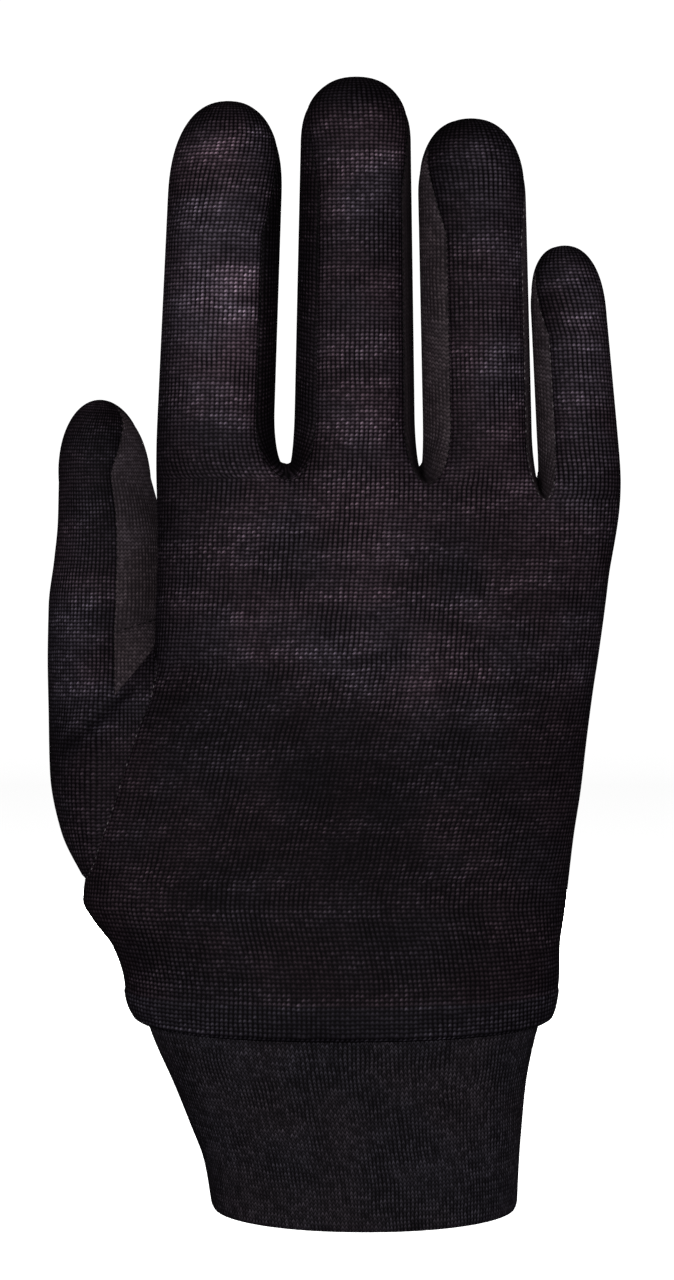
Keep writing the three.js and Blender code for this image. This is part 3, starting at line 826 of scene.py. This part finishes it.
def thumb_shade(spots, outward, knit):
    """Painted shade darkens the thumb in the crease, by the hole, by the inner panel and at the tip.
    """
    look = THUMB_TONE
    x, z = spots[:, 0], spots[:, 2]
    tone = mix(look.foot, look.shaft, ramp(z, look.shaft_span))
    # Painted sheen along a ridge.
    tone = tone + look.ridge * hump(z, *look.ridge_z)
    hole = hump(x, *look.hole_x) * hump(z, *look.hole_z)
    panel = hump(x, *look.panel_x) * ramp(z, look.panel_span)
    # Painted shade in the crease, by the hole, by the inner panel and at the tip.
    tone = tone * (1 - look.in_crease * thumb_crease(spots, outward))
    tone = tone * (1 - look.by_hole * hole) * (1 - look.by_panel * panel)
    tone = tone * (1 - look.at_tip * ramp(z, look.tip_span))
    # Painted shade darkens the thumb towards its sides.
    return tone * painted_side_shade(outward, look.falloff), look.cool


def strip_shade(notch):
    """A fourchette's painted light and shade on the finger to its left and on the one to its right."""

    def shade(spots, outward, knit):
        # Painted light and shade: the tone follows which way the fabric faces.
        to_right = ease(0.5 - STRIP_TURN * outward[:, 0])
        tone = mix(notch.left_tone, notch.right_tone, to_right)
        return mix(tone, PAINTED_WEB_LIGHT, ramp(outward[:, 2], WEB_SPAN)), 0

    return shade


def inset_shade(spots, outward, knit):
    """The inner panel and the gusset have one tone all over."""
    return INSET_TONE, 0


def cuff_shade(spots, outward, knit):
    # Painted shade darkens the cuff towards its sides.
    return CUFF_TONE.tone * painted_side_shade(outward, CUFF_TONE.falloff), CUFF_TONE.cool


def cross_seam_line():
    """The short seam between the thumb's inner panel and the gusset."""
    near, far = panel_edge(PANEL_ROW, "near"), panel_edge(PANEL_ROW, "far")
    turn = np.linspace(near, far, CROSS_POINTS)
    return thumb_point(turn, np.full_like(turn, PANEL_ROW), STITCH_DEPTH)


def seam_lines():
    """The curves of the pale stitches and those of the dark ones."""
    turn = np.linspace(-180, 180, ROUND_POINTS)
    pale, dark = [hole_point(turn, STITCH_DEPTH)], [cross_seam_line()]
    row = np.linspace(GUSSET_ROW, PANEL_END_ROW, EDGE_POINTS)
    for edge in ("near", "far"):
        dark.append(thumb_point(panel_edge(row, edge), row, STITCH_DEPTH))
    row = np.linspace(0, TAPER_END, EDGE_POINTS)
    for index in range(len(NOTCHES)):
        lines = pale if index == PALE_FOURCHETTE else dark
        for share in (0, 1):
            halves = [
                fourchette_point(index, side, row, np.full_like(row, share), STITCH_DEPTH)
                for side in (0, 1)
            ]
            lines.append(np.concatenate([halves[0][::-1], halves[1][1:]]))
    return pale, dark


def stitch_places(line):
    """Points at even steps along a curve, and the curve's way at each."""
    run = lengths(line, 0)
    count = int(run[-1] / STITCH_SPACING)
    at = (np.arange(count) + 0.5) * run[-1] / count

    def along(value):
        return np.stack([np.interp(value, run, line[:, axis]) for axis in range(3)], axis=-1)

    return along(at), unit(along(at + LINE_STEP) - along(at - LINE_STEP))


def stitch_piece(name, lines, material):
    """Small round-ended stitches along the seams, as one mesh."""
    each_line = [stitch_places(line) for line in lines]
    places, ways = [np.concatenate(part) for part in zip(*each_line)]
    aside = unit(np.cross(ways, OFF_SEAMS))
    third = np.cross(ways, aside)
    half_way = ways * STITCH_LONG / 2
    spots = [places - half_way]
    for share, size in STITCH_RINGS:
        reach = size * STITCH_THICK / 2
        for n in range(STITCH_SIDES):
            turn = 2 * math.pi * n / STITCH_SIDES
            out = aside * math.cos(turn) + third * math.sin(turn)
            spots.append(places + half_way * share + out * reach)
    spots.append(places + half_way)
    each = len(spots)
    spots = np.stack(spots, axis=1).reshape(-1, 3)
    ring_starts = [1 + ring * STITCH_SIDES for ring in range(len(STITCH_RINGS))]
    faces = []
    for n in range(STITCH_SIDES):
        m = (n + 1) % STITCH_SIDES
        faces.append([0, 1 + m, 1 + n])
        for low, high in zip(ring_starts, ring_starts[1:]):
            faces.append([low + n, low + m, high + m, high + n])
        faces.append([each - 1, ring_starts[-1] + n, ring_starts[-1] + m])
    starts = range(0, len(spots), each)
    all_faces = [[start + n for n in face] for start in starts for face in faces]
    return finished(name, smooth_mesh(name, spots / MILLIMETRES, all_faces), material)


def hand_panel(on_palm):
    """The back or the palm: four strips of the hand, each going on into its finger."""
    rows = stepped(
        (HEEL_ROWS, HEEL_STEPS),
        (THUMB_HOLE_ROWS, HOLE_STEPS),
        (KNUCKLE_ROWS, KNUCKLE_STEPS),
        (NOTCH_ROWS, NOTCH_STEPS),
        (SHAFT_ROWS, SHAFT_STEPS),
        (DOME_ROWS, DOME_STEPS),
    )
    share = crowded(FINGER_COLUMNS)
    row_grid, share_grid = grid_of(rows, share)
    at_notch = int(np.searchsorted(rows, HAND_ROWS))
    at_dome = int(np.searchsorted(rows, HAND_ROWS + NOTCH_ROWS + SHAFT_ROWS))
    fingers = range(len(FINGERS))
    grids = [panel_point(index, on_palm, row_grid, share_grid, 0) for index in fingers]
    runs = [lengths(grid, 1) for grid in grids]
    widths = [run[:, -1:] for run in runs]
    # On the hand the wales run on from strip to strip, from the line under the second notch.
    starts = [-widths[1] - widths[0], -widths[1], 0 * widths[2], widths[2]]
    above = np.arange(len(rows))[:, None] > at_notch
    on_dome = np.arange(len(rows))[:, None] > at_dome
    patches = []
    for index, grid in enumerate(grids):
        start, width = starts[index], widths[index]
        centre = (start + width / 2)[at_notch]
        narrow = np.where(on_dome, width[at_dome], width)
        narrowing = mix(width, narrow, CONVERGENCE) / np.maximum(width, TINY)
        from_centre = (runs[index] - width / 2) * narrowing
        wales = np.where(above, centre + from_centre, start + runs[index])
        height, _ = panel_height(index, on_palm, row_grid, share_grid)
        rise = lengths(grid[:, FINGER_COLUMNS // 2][:, None], 0)
        over = height[at_dome] + rise - rise[at_dome]
        courses = np.where(on_dome, over, height)
        knit = np.stack([wales / WALE, courses / COURSE], axis=-1)
        inner = panel_point(index, on_palm, row_grid, share_grid, FABRIC_WALL)
        if on_palm:
            patches.append(patch(grid[:, ::-1], inner[:, ::-1], knit[:, ::-1]))
        else:
            patches.append(patch(grid, inner, knit))
    return patches


def fourchette(index):
    """The strip down the side of one finger and up the side of the next."""
    rows = stepped((NOTCH_ROWS, NOTCH_STEPS), (TAPER_END - NOTCH_ROWS, SHAFT_STEPS))
    row_grid, share_grid = grid_of(rows, crowded(FOURCHETTE_COLUMNS))
    patches = []
    for side in (0, 1):
        outer = fourchette_point(index, side, row_grid, share_grid, 0)
        inner = fourchette_point(index, side, row_grid, share_grid, FABRIC_WALL)
        run = lengths(outer, 1)
        rise = lengths(outer[:, FOURCHETTE_COLUMNS // 2][:, None], 0)
        wales = run - run[:, -1:] / 2
        knit = np.stack([wales / WALE, (2 * side - 1) * rise / COURSE + 0 * run], axis=-1)
        order = slice(None, None, -1 if side else 1)
        patches.append(patch(outer[:, order], inner[:, order], knit[:, order]))
    return patches


def panel_edge(row, side):
    return look_up(PANEL_EDGES, "row", row, side)


def thumb_wales(spots, turn, row):
    """The wales of the thumb, counted round an upright axis from the outer side."""
    foot, top = THUMB["out_up"][0], THUMB["out_up"][-1]
    share = clamp((spots[..., 2] / GLOVE_LENGTH * 100 - foot) / (top - foot))
    low, high = [deep((THUMB["back"][n] + THUMB["palm"][n]) / 2) for n in (0, -1)]
    aside = spots[..., 0] - across(THUMB_AXIS_X)
    way = np.arctan2(aside, mix(low, high, share) - spots[..., 1])
    # Towards the hand the base is flat rather than round, so there the wales are spaced by x.
    beyond = np.maximum(0, aside / THUMB_HALF - FLAT_SHARE) / math.sqrt(1 - FLAT_SHARE**2)
    flat = np.arcsin(np.clip(aside / THUMB_HALF, 0, FLAT_SHARE)) + beyond
    flat = np.where(cosine(turn) > 0, flat, math.pi - flat)
    way = np.degrees(np.where(aside > 0, flat, way))
    way += 360 * np.round((turn - way) / 360)
    way = mix(way, turn, ease((row - GUSSET_ROW) / (PANEL_ROW - GUSSET_ROW)))
    bend = 90 * np.maximum(0, row - THUMB_LAST) / THUMB_DOME_ROWS
    return (way + 90) / 360 * THUMB_WALES * mix(CONVERGENCE, 1, cosine(bend))


def thumb_patch(turn, row):
    """A sheet of the thumb, with its courses level below the dome."""
    outer = thumb_point(turn, row, 0)
    inner = thumb_point(turn, row, FABRIC_WALL)
    at_dome = int(np.clip(np.searchsorted(row[:, 0], THUMB_LAST), 0, len(row) - 1))
    rise = lengths(outer, 0)
    over = outer[at_dome, :, 2] + rise - rise[at_dome]
    courses = np.where(row > THUMB_LAST, over, outer[..., 2]) / THUMB_COURSE
    return patch(outer, inner, np.stack([thumb_wales(outer, turn, row), courses], axis=-1))


def thumb():
    """All round below the gusset, and above it all but the inner panel."""
    seam_rows = stepped((GUSSET_ROW, THUMB_STEPS))
    near, far = panel_edge(GUSSET_ROW, "near"), panel_edge(GUSSET_ROW, "far")
    turns = np.concatenate(
        [
            mix(near - 360, far - 360, crowded(THUMB_INSET_COLUMNS)[:-1]),
            mix(far - 360, near, crowded(THUMB_WIDE_COLUMNS)),
        ]
    )
    row_grid, turn_grid = grid_of(seam_rows, turns)
    seam = thumb_patch(turn_grid, row_grid)
    shaft_rows = GUSSET_ROW + stepped((THUMB_TIP_ROW - GUSSET_ROW, THUMB_STEPS))
    row_grid, share_grid = grid_of(shaft_rows, crowded(THUMB_WIDE_COLUMNS))
    turn_grid = mix(panel_edge(row_grid, "far") - 360, panel_edge(row_grid, "near"), share_grid)
    return [seam, thumb_patch(turn_grid, row_grid)]


def thumb_inset(start, end):
    """The inner panel of the thumb, or the gusset under it: the rows between two rows."""
    rows = start + stepped((end - start, THUMB_STEPS))
    row_grid, share_grid = grid_of(rows, crowded(THUMB_INSET_COLUMNS))
    turn_grid = mix(panel_edge(row_grid, "near"), panel_edge(row_grid, "far"), share_grid)
    return [thumb_patch(turn_grid, row_grid)]


def cuff():
    """A sleeve of doubled knit from the mouth to the hem."""
    angles = np.linspace(-SIDE_SEAM, 360 - SIDE_SEAM, CUFF_COLUMNS + 1)
    heights = mix(up(CUFF["up"][0]), HEM, crowded(CUFF_ROWS))
    height_grid, angle_grid = grid_of(heights, angles)
    outer = sleeve_point(CUFF, angle_grid, height_grid, 0)
    inner = sleeve_point(CUFF, angle_grid, height_grid, CUFF_WALL)
    run = lengths(outer, 1)
    middle = run[:, [np.searchsorted(angles, 0)]]
    wales = np.round(run[-1, -1] / CUFF_WALE)
    knit = np.stack([(run - middle) / run[:, -1:] * wales, height_grid / CUFF_COURSE], axis=-1)
    return [patch(outer, inner, knit)]


def feed(tree, made, inputs):
    """Sets a node's inputs to values, or links them to sockets."""
    pairs = inputs.items() if isinstance(inputs, dict) else enumerate(inputs)
    for socket, value in pairs:
        if isinstance(value, bpy.types.NodeSocket):
            tree.links.new(value, made.inputs[socket])
        else:
            made.inputs[socket].default_value = value


def node(tree, kind, inputs=(), **settings):
    made = tree.nodes.new(kind)
    for key, value in settings.items():
        setattr(made, key, value)
    feed(tree, made, inputs)
    return made


def new_material(name):
    """A material, its node tree and its shader."""
    material = bpy.data.materials.new(name)
    material.use_nodes = True
    return material, material.node_tree, material.node_tree.nodes["Principled BSDF"]


def vector(tree, *parts):
    return node(tree, "ShaderNodeCombineXYZ", parts).outputs[0]


def parts_of(tree, value):
    return node(tree, "ShaderNodeSeparateXYZ", [value]).outputs


def calc(tree, operation, *values):
    return node(tree, "ShaderNodeMath", values, operation=operation).outputs[0]


def wave(tree, value, shift=0.0):
    """A smooth wave of period 1, from 0 at a whole number to 1 half way between."""
    turned = calc(tree, "MULTIPLY", calc(tree, "ADD", value, shift), 2 * math.pi)
    return calc(tree, "MULTIPLY_ADD", calc(tree, "COSINE", turned), -0.5, 0.5)


def noise(tree, place, scale, detail=2.0):
    inputs = {"Vector": place, "Scale": scale, "Detail": detail}
    return node(tree, "ShaderNodeTexNoise", inputs).outputs["Fac"]


def spread(tree, value, span, to_low=0.0, to_high=1.0):
    """Maps a span smoothly onto another."""
    inputs = {0: value, 1: span[0], 2: span[1], 3: to_low, 4: to_high}
    made = node(tree, "ShaderNodeMapRange", inputs, interpolation_type="SMOOTHSTEP")
    return made.outputs[0]


def product(tree, *values):
    made = values[0]
    for value in values[1:]:
        made = calc(tree, "MULTIPLY", made, value)
    return made


def blend(tree, share, low, high, clamped=True):
    inputs = {0: share, 6: low, 7: high}
    made = node(tree, "ShaderNodeMix", inputs, data_type="RGBA", clamp_factor=clamped)
    return made.outputs[2]


# Scales of the knit's noises: those of streaks and of the bands of painted sheen count in
# stitches, the others in metres.
NOISE = Record(
    drift=160.0, drift_up=240.0, groove=130.0, blotch=34.0, hue=60.0, streak=0.9, band=0.16
)
COARSE_DETAIL = 3.0
STREAK_STRETCH = 0.22
MIDDLE_SPAN = (0.35, 0.65)
SHEEN_BAND_SPAN = (0.4, 0.72)
BLOTCH_SPAN = (0.36, 0.66)
MOST_HUE = 0.7
# The light between two courses, and where on a wale and how seldom a painted glint lights a stitch.
BETWEEN_COURSES = 0.15
GLINT_SHIFT = 0.2
GLINT_RARITY = 2.0
LESS_ROUGH = 0.2
FABRIC_GLOSS = 0.025
KNIT_RELIEF = 0.0003


def stitch_pattern(tree, look, place):
    """Rows of arched threads, grooves between the wales and a hole in each stitch."""
    knit = parts_of(tree, node(tree, "ShaderNodeUVMap", uv_map="Knit").outputs["UV"])
    drift = calc(tree, "SUBTRACT", noise(tree, place, NOISE.drift), 0.5)
    drift_up = calc(tree, "SUBTRACT", noise(tree, place, NOISE.drift_up), 0.5)
    wale = calc(tree, "MULTIPLY_ADD", drift, look.wobble, knit[0])
    course = calc(tree, "MULTIPLY_ADD", drift_up, look.wobble, knit[1])
    in_wale = calc(tree, "SUBTRACT", calc(tree, "FRACT", wale), 0.5)
    arch = product(tree, calc(tree, "ABSOLUTE", in_wale), 2 * look.arch)
    arched = calc(tree, "ADD", course, arch)
    thread = wave(tree, arched)
    groove = spread(tree, noise(tree, place, NOISE.groove), MIDDLE_SPAN, look.groove, 1.0)
    between_wales = calc(tree, "SUBTRACT", 1.0, wave(tree, wale))
    ribbed = calc(tree, "SUBTRACT", 1.0, product(tree, groove, between_wales))
    on_course = calc(tree, "MULTIPLY_ADD", thread, 1 - BETWEEN_COURSES, BETWEEN_COURSES)
    lit = product(tree, on_course, ribbed)
    cell = vector(tree, calc(tree, "FLOOR", wale), calc(tree, "FLOOR", arched), 0.0)
    chance = node(tree, "ShaderNodeTexWhiteNoise", [cell], noise_dimensions="2D").outputs[0]
    return Record(wale=wale, course=course, thread=thread, lit=lit, chance=chance)


def fabric_level(tree, look, place, tone, stitch):
    """How light the fabric is: threads, painted glints, streaks, bands of painted sheen, blotches."""
    along_row = vector(tree, product(tree, stitch.wale, STREAK_STRETCH), stitch.course, 0.0)
    streaks = calc(tree, "SUBTRACT", noise(tree, along_row, NOISE.streak), 0.5)
    streaked = calc(tree, "MULTIPLY_ADD", streaks, look.streak, 1.0)
    # Painted sheen in bands along the courses, strongest where the tone is light.
    bands = spread(tree, noise(tree, along_row, NOISE.band, COARSE_DETAIL), SHEEN_BAND_SPAN)
    banded = product(tree, bands, calc(tree, "MINIMUM", tone, 1.0), look.bands)
    blotches = noise(tree, place, NOISE.blotch, COARSE_DETAIL)
    blotches = spread(tree, blotches, BLOTCH_SPAN, look.blotch, 1.0)
    # Painted glints on some stitches.
    slant = wave(tree, stitch.wale, GLINT_SHIFT)
    rare = calc(tree, "POWER", stitch.chance, GLINT_RARITY)
    glint = product(tree, stitch.thread, stitch.thread, slant, slant, rare, bands)
    uneven = calc(tree, "MULTIPLY_ADD", stitch.chance, look.uneven, 1 - look.uneven / 2)
    shine = calc(tree, "MULTIPLY_ADD", glint, look.glint, product(tree, stitch.lit, uneven))
    return product(tree, shine, streaked, tone, blotches, calc(tree, "ADD", banded, 1.0))


def knit_material(name, **look):
    """Knit fabric. Shade attribute: tone with painted shade and sheen, and how cool the thread is."""
    look = Record(**look)
    material, tree, shader = new_material(name)
    place = node(tree, "ShaderNodeTexCoord").outputs["Object"]
    shade = node(tree, "ShaderNodeAttribute", attribute_name="Shade").outputs["Vector"]
    tone, cool, _ = parts_of(tree, shade)
    stitch = stitch_pattern(tree, look, place)
    level = fabric_level(tree, look, place, tone, stitch)
    hue = spread(tree, noise(tree, place, NOISE.hue), MIDDLE_SPAN, 0.0, MOST_HUE)
    hue = calc(tree, "ADD", hue, cool)
    yarn = blend(tree, hue, (*look.thread, 1), (*look.cool_thread, 1))
    relief = {"Strength": look.relief, "Distance": KNIT_RELIEF, "Height": stitch.lit}
    feed(tree, shader, {
        "Base Color": blend(tree, level, (*look.hole, 1), yarn, clamped=False),
        "Roughness": calc(tree, "MULTIPLY_ADD", stitch.lit, -LESS_ROUGH, look.rough),
        "Specular IOR Level": FABRIC_GLOSS,
        "Normal": node(tree, "ShaderNodeBump", relief).outputs["Normal"],
    })
    return material


def thread_material(name, low, high):
    """Sewing thread: ply lines across it and uneven tone from stitch to stitch."""
    tone_scale, ply_scale, ply_share = 400.0, 1600.0, 0.4
    material, tree, shader = new_material(name)
    place = node(tree, "ShaderNodeTexCoord").outputs["Object"]
    uneven = spread(tree, noise(tree, place, tone_scale), (0.4, 0.62))
    ply = node(tree, "ShaderNodeTexWave", {"Vector": place, "Scale": ply_scale}).outputs["Fac"]
    plied = calc(tree, "MULTIPLY_ADD", ply, ply_share, 1 - ply_share)
    level = product(tree, uneven, plied)
    colour = blend(tree, level, (*low, 1), (*high, 1))
    feed(tree, shader, {"Base Color": colour, "Roughness": 0.6, "Specular IOR Level": 0.1})
    return material


KNIT = knit_material(
    "jersey_knit",
    hole=(0.0006, 0.0004, 0.0006), thread=(0.08, 0.0532, 0.0695),
    cool_thread=(0.065, 0.0562, 0.0752), wobble=0.6, arch=0.25, groove=0.72, uneven=0.6,
    glint=2.8, streak=0.6, bands=1.1, blotch=0.6, rough=0.7, relief=0.5,
)
SIDE_KNIT = knit_material(
    "side_knit",
    hole=(0.0075, 0.0056, 0.0066), thread=(0.035, 0.0265, 0.03),
    cool_thread=(0.033, 0.0265, 0.032), wobble=1.0, arch=0.45, groove=0.3, uneven=0.9,
    glint=0.6, streak=0.8, bands=0.3, blotch=0.8, rough=0.75, relief=0.35,
)
CUFF_KNIT = knit_material(
    "cuff_knit",
    hole=(0.0008, 0.0006, 0.0008), thread=(0.047, 0.037, 0.045),
    cool_thread=(0.041, 0.037, 0.048), wobble=1.4, arch=0.8, groove=0.6, uneven=1.0,
    glint=0.8, streak=0.8, bands=0.3, blotch=0.9, rough=0.75, relief=0.5,
)

back = fabric_piece("back_knit", hand_panel(False), KNIT, hand_shade, hand_relief)
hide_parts("back_panel")
palm = fabric_piece("palm_knit", hand_panel(True), KNIT, hand_shade, hand_relief)
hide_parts("palm_panel")
for number, notch in enumerate(NOTCHES):
    # Painted shade: one fourchette takes the darker knit.
    fabric = KNIT if number == SHADED_FOURCHETTE else SIDE_KNIT
    strip = fabric_piece(
        "side_knit_" + notch.name, fourchette(number), fabric, strip_shade(notch)
    )
    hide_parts("fourchette_" + notch.name)
thumb_knit = fabric_piece("thumb_knit", thumb(), KNIT, thumb_shade, thumb_relief)
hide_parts("thumb")
inner_rows = thumb_inset(PANEL_ROW, PANEL_END_ROW)
inner_panel = fabric_piece("thumb_side_knit", inner_rows, SIDE_KNIT, inset_shade)
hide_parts("thumb_side_panel")
gusset_rows = thumb_inset(GUSSET_ROW, PANEL_ROW)
gusset = fabric_piece("gusset_knit", gusset_rows, SIDE_KNIT, inset_shade)
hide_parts("thumb_gusset")
cuff_piece = fabric_piece("cuff_band", cuff(), CUFF_KNIT, cuff_shade)
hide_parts("cuff")
PALE_THREAD = thread_material("seam_thread", (0.006, 0.005, 0.006), (0.085, 0.073, 0.08))
DARK_THREAD = thread_material("dark_thread", (0.001, 0.001, 0.001), (0.006, 0.005, 0.006))
pale_lines, dark_lines = seam_lines()
stitch_piece("pale_stitches", pale_lines, PALE_THREAD)
stitch_piece("dark_stitches", dark_lines, DARK_THREAD)

# The camera looks along +Y at the back of the hand. Its long side is the picture's height.
CAMERA_AWAY = 1.0
VIEW_X = -0.0055
VIEW_Z = 0.115
VIEW_HEIGHT = 0.256
SENSOR_WIDTH = 36
camera_data = bpy.data.cameras.new("camera")
camera_data.sensor_width = SENSOR_WIDTH
camera_data.lens = SENSOR_WIDTH * CAMERA_AWAY / VIEW_HEIGHT
camera_data.clip_start = 0.01
camera_data.clip_end = 20
camera = linked("camera", camera_data)
camera.location = (VIEW_X, -CAMERA_AWAY, VIEW_Z)
camera.rotation_euler = (math.radians(90), 0, 0)
bpy.context.scene.camera = camera


def stage():
    """A pale round floor that curves up all round into a pale wall."""
    floor, middle, radius, turn, height = -0.03, 0.02, 4.0, 1.0, 6.0
    steps, sides = 12, 96
    profile = [(middle, floor), (radius, floor)]
    for step in range(1, steps + 1):
        bend = math.radians(90 * step / steps)
        profile.append((radius + turn * math.sin(bend), floor + turn * (1 - math.cos(bend))))
    profile.append((radius + turn, floor + height))
    turns = [2 * math.pi * n / sides for n in range(sides)]
    spots = [(r * math.cos(a), r * math.sin(a), z) for r, z in profile for a in turns]
    faces = [list(range(sides))]
    for ring in range(len(profile) - 1):
        low, high = ring * sides, (ring + 1) * sides
        for n in range(sides):
            m = (n + 1) % sides
            faces.append([low + n, high + n, high + m, low + m])
    mesh = smooth_mesh("stage", spots, faces)
    material, tree, shader = new_material("stage_paper")
    feed(tree, shader, {
        "Base Color": (0.9, 0.9, 0.9, 1),
        "Roughness": 1.0,
        "Specular IOR Level": 0.0,
        "Emission Color": (1, 1, 1, 1),
        "Emission Strength": 0.9,
    })
    mesh.materials.append(material)
    sweep = linked("stage", mesh)
    sweep.visible_diffuse = False
    sweep.visible_glossy = False
    sweep.visible_shadow = False


stage()


def softbox(lamp):
    """A square light that faces a point. A glossy one also shows as a sheen."""
    data = bpy.data.lights.new(lamp.name, "AREA")
    data.shape = "SQUARE"
    data.size = lamp.size
    data.energy = lamp.watts
    light = linked(lamp.name, data)
    light.location = lamp.place
    way = Vector(lamp.aim) - Vector(lamp.place)
    light.rotation_euler = way.to_track_quat("-Z", "Y").to_euler()
    light.visible_camera = False
    light.visible_glossy = lamp.glossy


LAMPS = records("name place aim size watts glossy", [
    ("key", (-0.35, -1.9, 0.25), (0, 0, 0.12), 0.6, 42, True),
    ("fill", (0.9, -1.7, 0.1), (0, 0, 0.12), 0.9, 7, True),
    ("left", (-2.0, 0.1, 0.4), (0, 0, 0.12), 0.9, 30, False),
    ("right", (2.0, 0.1, 0.4), (0, 0, 0.12), 0.9, 30, False),
    ("rear", (0, 1.9, 0.2), (0, 0, 0.1), 0.9, 75, False),
])
for lamp in LAMPS:
    softbox(lamp)

WORLD_STRENGTH = 0.05
world = bpy.data.worlds.new("world")
world.use_nodes = True
light_all_round = {"Color": (1, 1, 1, 1), "Strength": WORLD_STRENGTH}
feed(world.node_tree, world.node_tree.nodes["Background"], light_all_round)
bpy.context.scene.world = world
bpy.context.scene.view_settings.view_transform = "Standard"
